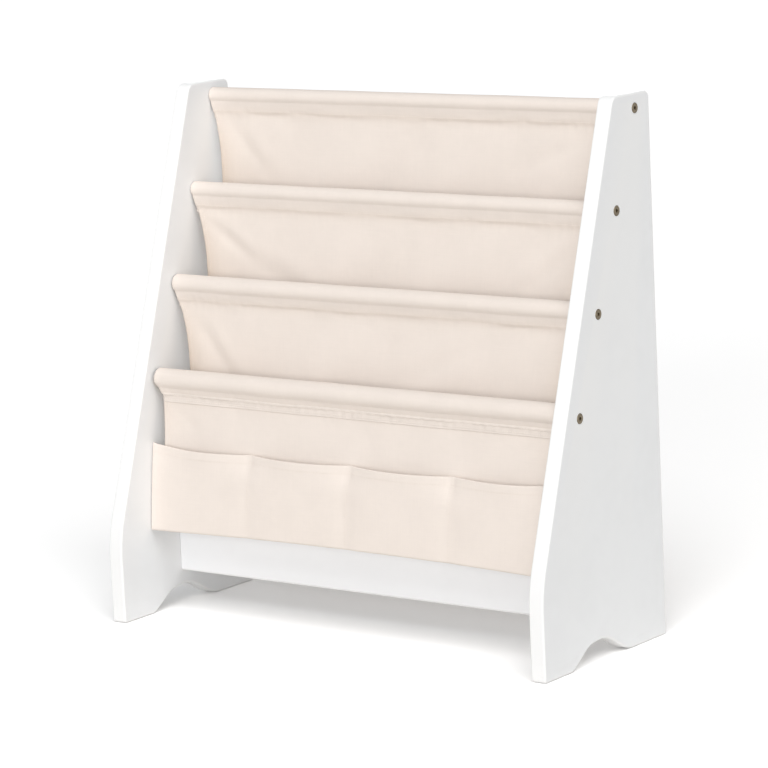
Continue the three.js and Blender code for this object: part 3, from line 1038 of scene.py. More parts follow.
@dataclass
class SidePanel:
    """A side panel: slanted front edge, upright foot, and an arch that leaves two toes."""

    side: Side
    foot_height: float = 105 * MM
    bend_reach: float = 26 * MM
    top_depth: float = 76 * MM
    corner: float = 10 * MM
    toe_round: float = 4 * MM
    front_toe: float = 55.5 * MM
    rear_toe: float = 69.5 * MM
    arch_height: float = 25 * MM
    apex_share: float = 0.463
    front_share: float = 0.55
    rear_share: float = 0.42
    edge_round: float = 2.2 * MM
    flat_inset: float = 0.8 * MM
    head_bore: float = 6.3 * MM
    head_depth: float = 2.4 * MM
    shank_bore: float = 3.0 * MM
    dowel_bore: float = 4.3 * MM
    cam_bore: float = 3.3 * MM
    fitting_depth: float = 10.3 * MM

    def outline(self, depth: float, height: float) -> list[Vector]:
        """The panel seen from the side.

        Args:
            depth: from the front foot to the rear edge.
            height: from the floor to the top.

        Returns:
            Points of depth and height, once round.
        """
        bend, top_front = Vector((0, self.foot_height)), Vector((depth - self.top_depth, height))
        slope = (top_front - bend).normalized()
        arch_rear = depth - self.rear_toe
        apex = self.front_toe + (arch_rear - self.front_toe) * self.apex_share
        front_rise, rear_rise = apex - self.front_toe, arch_rear - apex
        front_handle = self.front_toe + (1 - self.front_share) * front_rise
        pulled = self.toe_round * (1 - ARC_HANDLE)
        points = [Vector((0, self.toe_round))]
        for steps, *controls in (
            (1, (0, self.foot_height - self.bend_reach)),
            (14, bend, bend + slope * self.bend_reach),
            (1, top_front - slope * self.corner),
            (10, top_front, (top_front.x + self.corner, height)),
            (1, (depth - self.corner, height)),
            (10, (depth, height), (depth, height - self.corner)),
            (1, (depth, self.toe_round)),
            (6, (depth, pulled), (depth - pulled, 0), (depth - self.toe_round, 0)),
            (1, (arch_rear, 0)),
            (20, (arch_rear - self.rear_share * rear_rise, 0),
             (apex + self.rear_share * rear_rise, self.arch_height), (apex, self.arch_height)),
            (20, (apex - self.front_share * front_rise, self.arch_height),
             (front_handle, self.arch_height / 2), (self.front_toe, 0)),
            (1, (self.toe_round, 0)),
            (6, (pulled, 0), (0, pulled), (0, self.toe_round)),
        ):
            points += curve_points((points[-1], *controls), steps)
        return points[:-1]

    def bores(self, inner: float, thickness: float) -> list[Shape]:
        """The holes for the rods' bolts, the dowels and the cam bolt.

        Args:
            inner: X of the panel's inner face.
            thickness: the panel's thickness.

        Returns:
            One cutting shape for each hole.
        """
        way, seat, beyond = self.side.value, thickness - self.head_depth, thickness + CUT_REACH
        profile = [(0, -CUT_REACH), (self.shank_bore, -CUT_REACH), (self.shank_bore, seat),
                   (self.head_bore, seat), (self.head_bore, beyond), (0, beyond)]
        cutters = [turned(profile, SEAT_FACETS, facing(inner, middle_of(f"{rod}_rod"), way)) for rod in RODS]
        dowel, bolt = (self.dowel_bore, self.fitting_depth), (self.cam_bore, self.fitting_depth)
        fittings = {"lower_dowel": dowel, "upper_dowel": dowel, "cam_bolt": bolt}
        return cutters + fitting_bores(self.side, inner, way, fittings)

    def build(self) -> None:
        """Makes the panel."""
        node = f"{self.side.label}_side_panel"
        low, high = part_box(node)
        points = self.outline(high.y - low.y, high.z)
        bm = bmesh.new()
        face = bm.faces.new([bm.verts.new((low.x, low.y + p.x, p.y)) for p in points])
        pushed = bmesh.ops.extrude_face_region(bm, geom=[face])["geom"]
        verts = [part for part in pushed if isinstance(part, bmesh.types.BMVert)]
        bmesh.ops.translate(bm, verts=verts, vec=(high.x - low.x, 0, 0))
        bmesh.ops.recalc_face_normals(bm, faces=bm.faces)
        rims = [edge for flat in bm.faces if len(flat.verts) == len(points) for edge in flat.edges]
        round_edges(bm, rims, self.edge_round, 5)
        flats = [flat for flat in bm.faces if len(flat.verts) >= len(points)]
        bmesh.ops.inset_individual(bm, faces=flats, thickness=self.flat_inset)
        cutters = self.bores(high.x if self.side is Side.LEFT else low.x, high.x - low.x)
        finish_board(f"{self.side.label}_panel_board", bm, cutters, PAINT, node)


@dataclass
class TieBoard:
    """The board between the panels, with its cams in the rear face."""

    edge_round: float = 2.5 * MM
    flat_inset: float = 0.6 * MM
    cam_bore: float = 7.5 * MM
    cam_depth: float = 11.3 * MM
    bolt_bore: float = 3.9 * MM
    bolt_reach: float = 24 * MM
    dowel_bore: float = 4.3 * MM
    dowel_reach: float = 20.3 * MM

    def build(self) -> None:
        """Makes the board."""
        low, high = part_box("lower_board")
        bm = block((low + high) / 2, high - low)
        long_edges = [e for e in bm.edges if abs(e.verts[0].co.x - e.verts[1].co.x) > high.x - low.x - 1 * MM]
        round_edges(bm, long_edges, self.edge_round, 6)
        wide = [f for f in bm.faces if max(abs(f.normal.y), abs(f.normal.z)) > 0.99]
        bmesh.ops.inset_individual(bm, faces=wide, thickness=self.flat_inset)
        dowel = (self.dowel_bore, self.dowel_reach)
        fittings = {"cam_bolt": (self.bolt_bore, self.bolt_reach), "lower_dowel": dowel, "upper_dowel": dowel}
        cutters = []
        for side, end in ((Side.LEFT, low.x), (Side.RIGHT, high.x)):
            cam = middle_of(f"board_{side.label}_cam")
            rear = Matrix.Translation((cam.x, high.y, cam.z)) @ Matrix.Rotation(-math.pi / 2, 4, "Z")
            cutters.append(drill(self.cam_bore, self.cam_depth, SEAT_FACETS, rear))
            cutters += fitting_bores(side, end, -side.value, fittings)
        finish_board("tie_board", bm, cutters, COOL_LIGHTENED_PAINT, "lower_board")


# ---- Fittings -------------------------------------------------------------------------------------


@dataclass
class RodBolt:
    """A flat headed bolt with a hexagon socket, in the panel's outer face."""

    rod: str
    side: Side
    head: float = 6.0 * MM
    head_height: float = 2.6 * MM
    rim: float = 0.8 * MM
    shank: float = 2.7 * MM
    tip: float = 0.5 * MM
    neck: float = 0.3 * MM
    under_rim: float = 0.2 * MM
    socket_width: float = 4.0 * MM
    socket_depth: float = 2.0 * MM
    flare: float = 0.55 * MM
    flare_depth: float = 0.6 * MM

    def build(self) -> None:
        """Makes the bolt."""
        node = f"{self.rod}_rod_{self.side.label}_bolt"
        low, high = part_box(node)
        way, seat, end = self.side.value, -self.head_height, low.x - high.x
        place = facing(high.x if way > 0 else low.x, (low + high) / 2, way)
        profile = [(0, end), (self.shank - self.tip, end), (self.shank, end + self.tip),
                   (self.shank, seat - self.neck), (self.shank + self.neck, seat),
                   (self.head - self.under_rim, seat), (self.head, seat + self.under_rim),
                   *rounded_rim(self.head, self.rim, 7), (0, 0)]
        bolt = add_shape(f"{self.rod}_{self.side.label}_bolt_head", turned(profile, HEAD_FACETS, place))
        radius, upright = self.socket_width / math.sqrt(3), Matrix.Rotation(math.pi / 2, 4, "Y")
        sunk = place @ Matrix.Translation(((CUT_REACH - self.socket_depth) / 2, 0, 0)) @ upright
        carve(bolt, cone(radius, radius, self.socket_depth + CUT_REACH, 6, sunk),
              cone(radius * 0.9, radius + self.flare, self.flare_depth, SEAT_FACETS, place @ upright))
        soften(bolt, 28.0)
        put_on(bolt, BRONZE, node)


@dataclass
class CamLock:
    """The cam disc in the board's rear face, with a cross for the driver."""

    side: Side
    radius: float = 7.2 * MM
    thickness: float = 11 * MM
    rim: float = 0.4 * MM
    cross_width: float = 2 * MM
    cross_length: float = 9 * MM
    cross_depth: float = 2 * MM
    slot: float = 9 * MM
    slot_width: float = 7.8 * MM

    def build(self) -> None:
        """Makes the cam."""
        node = f"board_{self.side.label}_cam"
        low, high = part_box(node)
        centre = (low + high) / 2
        face = Vector((centre.x, high.y, centre.z))
        profile = [(0, -self.thickness), (self.radius - self.rim, -self.thickness),
                   (self.radius, self.rim - self.thickness),
                   *rounded_rim(self.radius, self.rim, 4), (0, 0)]
        place = Matrix.Translation(face) @ Matrix.Rotation(math.pi / 2, 4, "Z")
        cam = add_shape(f"{self.side.label}_cam_lock", turned(profile, HEAD_FACETS, place))
        reach = self.side.value * (self.radius + CUT_REACH - self.slot / 2)
        slot_middle = Vector((centre.x + reach, middle_of("lower_board").y, centre.z))
        wide, deep, tall = self.cross_length, 2 * self.cross_depth, self.cross_width
        carve(cam, block(slot_middle, (self.slot, self.slot_width, self.slot_width)),
              block(face, (wide, deep, tall)), block(face, (tall, deep, wide)))
        soften(cam)
        put_on(cam, ZINC, node)


# ---- Canvas ---------------------------------------------------------------------------------------


class PathStep(NamedTuple):
    """One line of the cloth, seen from the side of the shelf.

    draw is how far the sides have drawn in and loose how freely the cloth hangs, both from 0 to 1.
    pucker is how strongly a seam gathers the cloth, rise how far its middle is drawn up, and pinch how
    much of the seam's own drawing in there is.
    """

    y: float
    z: float
    draw: float = 0.0
    loose: float = 0.0
    pucker: float = 0.0
    rise: float = 0.0
    pinch: float = 0.0


class Spot(NamedTuple):
    """A place on a sheet: on its flat cloth in metres, and in the shelf, with how much brownish painted shade
    it gets.
    """

    flat: tuple[float, float]
    point: Vector
    warmth: float = 0.0


@dataclass(frozen=True)
class ClothSizes:
    """The sizes that all the cloth shares, and the heights of the small shapes in it."""

    thickness: float = 1.15 * MM
    layer: float = 1.4 * MM
    gap: float = 0.3 * MM
    seam_drop: float = 20 * MM
    seam_forward: float = 4 * MM
    forward_reach: float = 25 * MM
    lean: float = 0.14
    end_gap: float = 0.6 * MM
    draw_reach: float = 55 * MM
    pocket_drop: float = 130 * MM
    fold_radius: float = 9 * MM
    fold_depth: float = 2.4 * MM
    fold_span: float = 170 * MM
    hem: float = 8 * MM
    hem_width: float = 9 * MM
    hem_thickness: float = 0.9 * MM
    hem_stitch: float = 7.5 * MM
    hidden_inset: float = 2.5 * MM
    pucker_reach: float = 9 * MM
    gather_pitch: float = 13.5 * MM
    gather: float = 0.38 * MM
    wrinkle: float = 0.55 * MM
    wrinkle_reach: float = 10 * MM
    rumple: float = 0.3 * MM
    seam_slack: float = 0.5 * MM
    dip_reach: float = 5 * MM
    slack_reach: float = 16 * MM
    edge_roll: float = 1.3 * MM
    roll_inset: float = 24 * MM
    roll_width: float = 12 * MM
    broad_wave: float = 1.4 * MM
    fine_wave: float = 0.35 * MM
    wander: float = 1.3 * MM
    wander_reach: float = 14 * MM
    # How far the brownish painted shade reaches from a side, from the left side, and below a seam.
    warm_shade_reach: float = 14 * MM
    left_warm_shade_reach: float = 55 * MM
    seam_warm_shade_reach: float = 6 * MM
    hem_edge: float = 0.9995
    seam_stitch_edge: float = 0.994

    @property
    def offset(self) -> float:
        """From a seam to the middle of either layer."""
        return (self.layer + self.gap) / 2

    @property
    def thread_stand(self) -> float:
        """From the cloth's middle to the middle of a thread on it."""
        return self.thickness / 2 + 0.12 * MM

    def free(self, drop: float) -> float:
        """How far the cloth has left the seam above it, from 0 to almost 1."""
        return 1 - fade(max(drop, 0.0), self.draw_reach)

    def gathers(self, distance: float) -> float:
        """How strongly a seam at that distance puckers the cloth."""
        return fade(distance, self.pucker_reach)


SIZES = ClothSizes()


@dataclass(frozen=True)
class Crease:
    """A soft crease that runs down from a sleeve's end, in places measured from that end's seam."""

    side: Side
    start: tuple[float, float]
    end: tuple[float, float]
    depth: float
    width: float

    def sink(self, inwards: float, drop: float) -> float:
        """How far the crease sinks the cloth.

        Args:
            inwards: the distance from the panel on its side.
            drop: the distance below the seam.

        Returns:
            The depth there.
        """
        start, line = Vector(self.start), Vector(self.end) - Vector(self.start)
        here = Vector((inwards, drop)) - start
        along = here.dot(line) / line.length_squared
        if not -0.2 < along < 1.2:
            return 0.0
        beside = (here - line * along).dot(Vector((line.y, -line.x)).normalized())
        fold = bell(beside, self.width) - 0.55 * bell(beside - 1.9 * self.width, self.width)
        return self.depth * math.sin(math.pi * (along + 0.2) / 1.4) * fold


@dataclass(frozen=True)
class SleeveFit:
    """How one sleeve sits on its rod: its slack above the rod, its seam, its ends and its creases."""

    slack: float = 0.0
    seam_drop: float = 20 * MM
    end_gap: float = 0.6 * MM
    side_draw: float = 20 * MM
    pinch: float = 3.5 * MM
    edge_curl: float = 6.5 * MM
    curl_reach: float = 11 * MM
    creases: tuple[Crease, ...] = ()


def woven(name: str, across: int, down: int, weave: Callable[[int, int], Spot], thickness: float,
          *nodes: str) -> Piece:
    """Makes a sheet of canvas from a grid.

    Args:
        name: the piece's name.
        across: how many cells it has across.
        down: how many cells it has down.
        weave: what the sheet is like at a column and a row.
        thickness: its thickness, half to each side.
        nodes: the CAD nodes that it replaces.

    Returns:
        The sheet.
    """
    bm = bmesh.new()
    bmesh.ops.create_grid(bm, x_segments=across, y_segments=down, size=0.5)
    # Each point keeps the strength of its brownish painted shade.
    warmth, uv = bm.verts.layers.float.new("warmth"), bm.loops.layers.uv.verify()
    spots = [weave(round((v.co.x + 0.5) * across), round((v.co.y + 0.5) * down)) for v in bm.verts]
    for face in bm.faces:
        face.smooth = True
        for loop in face.loops:
            loop[uv].uv = spots[loop.vert.index].flat
    for vert, spot in zip(bm.verts, spots):
        vert.co, vert[warmth] = spot.point, spot.warmth
    sheet = add_shape(name, bm)
    wall = sheet.modifiers.new("thickness", "SOLIDIFY")
    wall.thickness, wall.offset = thickness, 0.0
    wall.use_even_offset, wall.use_rim = False, True
    return put_on(sheet, CANVAS, *nodes)


@dataclass(frozen=True)
class Stitches:
    """The stitches of a sheet, along lines of points that lie where the thread lies."""

    name: str
    lines: Sequence[Sequence[Vector]]
    pitch: float = 3.4 * MM
    length: float = 2.5 * MM
    thread: float = 0.55 * MM
    flatness: float = 1.2

    def places(self, points: Sequence[Vector]) -> list[Matrix]:
        """Where the stitches along one line go.

        Args:
            points: the line.

        Returns:
            A place for each stitch, which turns and stretches a ball into it.
        """
        places, runs = [], run_lengths(points)
        count = int(runs[-1] / self.pitch)
        for number in range(count):
            run = (number + 0.5) * runs[-1] / count
            index = min(max(bisect_right(runs, run) - 1, 0), len(points) - 2)
            here, after = points[index], points[index + 1]
            middle = here.lerp(after, (run - runs[index]) / max(runs[index + 1] - runs[index], 1e-9))
            along = (after - here).normalized()
            out = (FORWARD - along * FORWARD.dot(along)).normalized()
            half, high = self.thread / 2, self.thread / 2 / self.flatness
            frame = Matrix((along * self.length / 2, out.cross(along) * half, out * high)).transposed()
            places.append(Matrix.Translation(middle) @ frame.to_4x4()
                          @ Matrix.Rotation(math.pi / 2, 4, "Y"))
        return places

    def build(self) -> Piece:
        """Makes all the stitches as one piece.

        Returns:
            The piece.
        """
        bm = bmesh.new()
        for place in chain.from_iterable(map(self.places, self.lines)):
            bmesh.ops.create_uvsphere(bm, u_segments=6, v_segments=4, radius=1.0, matrix=place)
        for face in bm.faces:
            face.smooth = True
        bmesh.ops.recalc_face_normals(bm, faces=bm.faces)
        return put_on(add_shape(self.name, bm), THREAD)


THREAD_SHARES = shares(240)


@dataclass(kw_only=True)
class HungCloth:
    """Cloth that goes round a rod, is sewn below it and hangs from the seam.

    phase is where its slanted folds start, and fit is how its sleeve sits on the rod.
    """

    rod_name: str
    phase: float
    fit: SleeveFit
    columns: int = 150
    sleeve_steps: int = 30
    wall_steps: int = 58

    def __post_init__(self) -> None:
        """Takes the rod's place and the width between the panels, and lays the cloth's path."""
        low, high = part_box(f"{self.rod_name}_rod")
        self.rod, self.rod_radius = (low + high) / 2, (high.z - low.z) / 2
        self.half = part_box("right_side_panel")[0].x - self.fit.end_gap
        self.seam = self.rod.z - self.fit.seam_drop
        self.seed = 7.3 * self.phase
        sleeve = self.sleeve_path()
        self.seam_index = len(sleeve) - 1
        self.steps = [*sleeve, *self.hanging_path()]
        self.runs = run_lengths([Vector((step.y, step.z)) for step in self.steps])

    def hanging_path(self) -> list[PathStep]:
        """The cloth below its seam, which each kind of cloth lays in its own way."""
        raise NotImplementedError

    def sleeve_path(self) -> list[PathStep]:
        """Lays the cloth round the rod.

        Returns:
            Its steps, from its hem behind the wall to the seam in front.
        """
        radius = self.rod_radius + SIZES.gap + (SIZES.layer + self.fit.slack) / 2
        centre = self.rod.z + self.fit.slack / 2
        drop = centre - self.seam
        behind, before = SIZES.offset - SIZES.seam_forward, SIZES.offset + SIZES.seam_forward

        def leaves(beside: float) -> float:
            """The angle from straight down at which the cloth leaves the rod for its seam."""
            return math.acos(radius / math.hypot(beside, drop)) - math.atan2(beside, drop)

        def round_rod(angle: float) -> Vector:
            """A point of the cloth round the rod."""
            return Vector((self.rod.y + radius * math.cos(angle), centre + radius * math.sin(angle)))

        def step_at(spot: Vector, pucker: float = 1.0) -> PathStep:
            """A step at a point, puckered and drawn in the more the nearer the seam is."""
            return PathStep(spot.x, spot.y, pucker=pucker * SIZES.gathers(spot.y - self.seam),
                            pinch=held((centre - spot.y) / drop) ** 1.3)

        first, sweep = leaves(behind) - math.pi / 2, math.tau - leaves(behind) - leaves(before)
        back_seam = Vector((self.rod.y + behind, self.seam))
        front_seam = Vector((self.rod.y - before, self.seam))
        angles = [first + sweep * share for share in shares(self.sleeve_steps)]
        return [
            *(PathStep(back_seam.x, self.seam - SIZES.hem * (1 - share), pinch=1.0) for share in shares(4)),
            *(step_at(back_seam.lerp(round_rod(first), share), 0.5) for share in shares(6, 1)[:-1]),
            *(step_at(round_rod(angle), max(-math.cos(angle), 0.0)) for angle in angles),
            *(step_at(round_rod(angles[-1]).lerp(front_seam, share)) for share in shares(8, 1)),
        ]

    def wall_path(self, bottom: float) -> list[PathStep]:
        """The wall from below the seam, leaning forward as it drops.

        Args:
            bottom: the height where it ends.

        Returns:
            Its steps.
        """
        path = []
        for share in shares(self.wall_steps, 1):
            drop = (self.seam - bottom) * share ** 1.25
            free = SIZES.free(drop - SIZES.seam_drop + self.fit.seam_drop)
            path.append(PathStep(self.wall_depth(self.seam - drop), self.seam - drop, free,
                                 SIZES.free(drop), SIZES.gathers(drop), pinch=1.0))
        return path

    def wall_depth(self, height: float) -> float:
        """How deep the wall hangs: forward at the seam, and leaning as it drops.

        Args:
            height: where it is asked for.

        Returns:
            Y of the wall's middle.
        """
        forward = SIZES.seam_forward * math.exp((height - self.seam) / SIZES.forward_reach)
        lean = SIZES.lean * (self.rod.z - SIZES.seam_drop - height)
        return self.rod.y - SIZES.offset - lean - forward

    def detail(self, x: float, step: PathStep, half: float) -> float:
        """Small shapes in the cloth: gathers, side folds, creases and slack.

        Args:
            x: the place across the shelf.
            step: the path's step.
            half: half the cloth's width there.

        Returns:
            How far the cloth stands forward.
        """
        seed, drop, loose = self.seed + 0.7, self.seam - step.z, step.loose
        gathers = math.sin(math.tau * x / SIZES.gather_pitch + 3.0 * ripple(x * 22, seed, 0))
        swell = SIZES.gather * step.pucker * (gathers + 0.8 * ripple(x * 90, step.z * 60, seed))
        slack = ripple(x * 21, seed, 2.0) + 0.5 * ripple(x * 55, seed, 5.0)
        wrinkles = ripple(x * 26, step.z * 150, seed) + 0.5 * ripple(x * 60, step.z * 260, seed)
        swell += SIZES.wrinkle * wrinkles * fade(drop, SIZES.wrinkle_reach)
        if loose <= 0:
            rumple = SIZES.rumple * (1 + ripple(x * 16, step.z * 30, seed)) * (1 - step.pucker)
            return swell + rumple + SIZES.seam_slack * step.pucker * slack
        inwards = half - abs(x)
        swell -= 0.5 * drop * (1 + 0.9 * slack) * fade(drop, SIZES.dip_reach)
        swell += 0.16 * drop * slack * fade(drop, SIZES.slack_reach)
        swell -= self.fit.edge_curl * loose * fade(inwards, self.fit.curl_reach)
        swell += SIZES.edge_roll * loose * bell(inwards - SIZES.roll_inset, SIZES.roll_width)
        for crease in self.fit.creases:
            if x * crease.side.value > 0:
                swell -= crease.sink(self.half - abs(x), drop) * min(loose * 1.6, 1.0)
        swell += SIZES.broad_wave * loose * ripple(x * 11, step.z * 14, seed + 4)
        return swell + SIZES.fine_wave * loose * ripple(x * 42, step.z * 36, seed + 9)

    def half_at(self, step: PathStep) -> float:
        """Half the cloth's width at a step."""
        return self.half - self.fit.side_draw * step.draw - self.fit.pinch * step.pinch

    def place(self, share: float, row: float, lift: float = 0.0) -> Vector:
        """A point of the cloth.

        Args:
            share: the place across it, from -1 to 1.
            row: the place along its path, as a step's number and part of the next.
            lift: how far the point stands off the cloth's middle, to its outer side.

        Returns:
            The point.
        """
        index = min(max(int(row), 0), len(self.steps) - 2)
        part = row - index
        a, b = self.steps[index], self.steps[index + 1]
        step = PathStep(*(p + (q - p) * part for p, q in zip(a, b)))
        before = self.steps[max(index - 1, 0)] if part < 0.5 else a
        along = Vector((b.y - before.y, b.z - before.z)).normalized()
        half = self.half_at(step)
        x, inside = share * half, 1 - share * share
        slant = (x - step.z) / SIZES.fold_span + self.phase
        fold = SIZES.fold_depth * step.loose * math.sin(math.tau * slant) * inside
        wander = SIZES.wander * fade(step.z - self.seam, SIZES.wander_reach)
        height = step.z + step.rise * inside + wander * ripple(x * 14, self.seed, 8.0)
        push = self.detail(x, step, half) + lift
        return Vector((x, step.y - fold + along.y * push, height - along.x * push))

    def row_of(self, run: float) -> float:
        """The row at a length along the cloth."""
        index = min(max(bisect_right(self.runs, run) - 1, 0), len(self.runs) - 2)
        return index + (run - self.runs[index]) / (self.runs[index + 1] - self.runs[index])

    def warmth(self, share: float, row: int) -> float:
        """How much brownish painted shade the cloth gets where it turns back beside a panel, more broadly on
        the left, and just below a seam.

        Args:
            share: the place across the cloth, from -1 to 1.
            row: the number of a step of its path.

        Returns:
            The painted shade's strength, from 0 to 1.
        """
        step, side = self.steps[row], (1 - abs(share)) * self.half
        edge = step.loose * fade(side, SIZES.warm_shade_reach)
        if share < 0:
            edge = 0.75 * edge + 0.42 * step.loose * fade(side, SIZES.left_warm_shade_reach)
        return min(edge + 0.2 * fade(step.z - self.seam, SIZES.seam_warm_shade_reach), 1.0)

    def sheet(self, name: str, node: str) -> Piece:
        """Makes the cloth as one sheet, with columns that are closer at its sides.

        Args:
            name: the piece's name.
            node: the CAD node that it replaces.

        Returns:
            The sheet.
        """
        def weave(column: int, row: int) -> Spot:
            """What the cloth is like at a crossing.

            Args:
                column: the column's number.
                row: the row's number.

            Returns:
                The spot.
            """
            even = 2 * column / self.columns - 1
            share = even * (1.25 - 0.25 * even * even)
            return Spot((share * self.half, self.runs[row]), self.place(share, row), self.warmth(share, row))

        return woven(name, self.columns, len(self.steps) - 1, weave, SIZES.thickness, node)

    def strip(self, name: str, rows: Sequence[float], share_of: Callable[[float, float], float],
              lift: Callable[[float, float], float], columns: int, thickness: float) -> Piece:
        """A narrow strip of cloth that lies on this one, such as a hem.

        Args:
            name: the piece's name.
            rows: the rows that it covers.
            share_of: the place across the cloth, for a share of the strip's width and a row.
            lift: how far its middle stands off the cloth's middle, for X and a share of the rows.
            columns: how many cells it has across.
            thickness: its thickness.

        Returns:
            The piece.
        """
        last = len(rows) - 1

        def weave(column: int, number: int) -> Spot:
            """What the strip is like at a crossing.

            Args:
                column: the column's number.
                number: which of its rows.

            Returns:
                The spot.
            """
            share = share_of(column / columns, rows[number])
            point = self.place(share, rows[number], lift(share * self.half, number / last))
            return Spot((share * self.half, self.runs[int(rows[number])]), point)

        return woven(name, columns, last, weave, thickness)

    def side_hems(self, name: str, last_row: int) -> list[Piece]:
        """The turned hems behind the two sides.

        Args:
            name: the start of the pieces' names.
            last_row: the row where they end.

        Returns:
            The two hems.
        """
        behind = -(SIZES.thickness + SIZES.hem_thickness) / 2 - 0.05 * MM
        hems = []
        for side in Side:
            def share_of(part: float, row: float, side: Side = side) -> float:
                """Keeps the hem just inside the cloth's edge.

                Args:
                    part: the place across the hem, from 0 to 1.
                    row: the row.
                    side: the cloth's side.

                Returns:
                    The place across the cloth, from -1 to 1.
                """
                inner = 1 - SIZES.hem_width / self.half_at(self.steps[int(row)])
                inwards = part if side is Side.RIGHT else 1 - part
                return side.value * (SIZES.hem_edge + (inner - SIZES.hem_edge) * inwards)

            hems.append(self.strip(f"{name}_{side.label}_hem", range(self.seam_index + 3, last_row + 1),
                                   share_of, lambda x, part: behind, 5, SIZES.hem_thickness))
        return hems

    def hem_lines(self, last_row: int) -> list[list[Vector]]:
        """The lines of stitches along the wall's side hems.

        Args:
            last_row: the row where they end.

        Returns:
            A line for each side.
        """
        first_row, lines = self.seam_index + 3, []
        for side in Side:
            line = []
            for share in THREAD_SHARES:
                row = first_row + (last_row - first_row) * share
                half = self.half_at(self.steps[int(row)])
                across = side.value * (1 - SIZES.hem_stitch / half)
                line.append(self.place(across, row, SIZES.thread_stand))
            lines.append(line)
        return lines

    def declare(self, sheet: Piece, with_pieces: list[Piece]) -> None:
        """Logs how large the flat sheet is.

        Args:
            sheet: the cloth's sheet.
            with_pieces: the hems and stitches that go with it; not used.
        """
        width, length = 2 * self.half, self.runs[-1]
        LOG.info("%s: flat %.3f x %.3f m", sheet.name, width, length)


@dataclass(kw_only=True)
class SlingPocket(HungCloth):
    """A pocket for books: sleeve, wall, fold and front wall in one sheet.

    Its front wall is sewn behind the sleeve of the rod below.
    """

    below: str
    below_fit: SleeveFit
    fold_steps: int = 16
    front_steps: int = 26
    seam_stitch: float = 1.6 * MM

    def hanging_path(self) -> list[PathStep]:
        """Lays the wall, the fold under the books, and the front wall up to the seam that holds it.

        Returns:
            The steps.
        """
        below, radius = middle_of(f"{self.below}_rod"), SIZES.fold_radius
        path = self.wall_path(below.z - SIZES.pocket_drop + radius)
        end = path[-1]
        held_y, held_z = below.y + 3 * SIZES.offset, below.z - SIZES.seam_drop - SIZES.hem
        foot_draw = self._hidden_draw(held_z - end.z)
        for share in shares(self.fold_steps, 1):
            angle = math.pi * share
            path.append(PathStep(end.y - radius * (1 - math.cos(angle)), end.z - radius * math.sin(angle),
                                 end.draw + (foot_draw - end.draw) * share, end.loose * (1 - share),
                                 pinch=1.0))
        foot = path[-1]
        for share in shares(self.front_steps, 1):
            draw = self._hidden_draw((held_z - foot.z) * (1 - share))
            path.append(PathStep(foot.y + (held_y - foot.y) * share, foot.z + (held_z - foot.z) * share,
                                 draw, pinch=1.0))
        tuck = SIZES.hem - SIZES.gap
        return path + [PathStep(held_y, held_z + tuck * share, draw, pinch=1.0) for share in shares(3, 1)]

    def _hidden_draw(self, drop: float) -> float:
        """Keeps the front wall just inside the wall that hangs in front of it.

        Args:
            drop: the distance below the place where it is held.

        Returns:
            How far its sides have drawn in.
        """
        below = self.below_fit
        inset = below.end_gap + below.pinch + below.side_draw * SIZES.free(drop + SIZES.hem)
        return (inset + SIZES.hidden_inset - self.fit.end_gap - self.fit.pinch) / self.fit.side_draw

    def build(self) -> None:
        """Makes the pocket with its hems and stitches."""
        name, wall_end = f"{self.rod_name}_sling", self.seam_index + self.wall_steps
        sheet = self.sheet(name, f"{self.rod_name}_sling_pocket")
        hems = self.side_hems(name, wall_end + self.fold_steps)
        row = self.row_of(self.runs[self.seam_index] - self.seam_stitch)
        places = [(2 * share - 1) * SIZES.seam_stitch_edge for share in THREAD_SHARES]
        seam = [self.place(across, row, SIZES.thread_stand) for across in places]
        self.declare(sheet, [*hems, Stitches(f"{name}_stitches", [seam, *self.hem_lines(wall_end)]).build()])


@dataclass(frozen=True)
class PouchSizes:
    """The pouch's sizes, and those of the folded lip above it."""

    mouth_below_rod: float = 75.8 * MM
    height: float = 105.5 * MM
    compartments: int = 4
    bulge: float = 11 * MM
    base_bulge: float = 8 * MM
    sag: float = 1.4 * MM
    side_drop: float = 4.5 * MM
    side_reach: float = 28 * MM
    side_wall_drop: float = 11 * MM
    side_fold: float = 9 * MM
    side_turn: float = 3 * MM
    base_rise: float = 5 * MM
    sewn_width: float = 4 * MM
    mouth_hem: float = 11 * MM
    hem_round: float = 0.65 * MM
    hem_forward: float = 1.3 * MM
    broad_slack: float = 1.3 * MM
    fine_slack: float = 0.3 * MM
    tuck_share: float = 0.1
    tuck_sink: float = 0.8 * MM
    sewn_edge: float = 10 * MM
    ease_reach: float = 30 * MM
    divider_reach: float = 12 * MM
    mouth_stitch_row: float = 0.085
    lip_above: float = 2.5 * MM
    lip_width: float = 12.5 * MM
    lip_thickness: float = 0.8 * MM
    lip_stand: float = 0.45 * MM
    lip_edge: float = 0.996
    lip_stitch_edge: float = 0.992
    lip_stitches: tuple[float, float] = (0.22, 0.72)
    ruffle_pitch: float = 11.5 * MM
    open_from: float = -200 * MM
    open_span: float = 260 * MM

    @property
    def mouth_drop(self) -> float:
        """From the usual seam to the mouth."""
        return self.mouth_below_rod - SIZES.seam_drop


POUCH = PouchSizes()


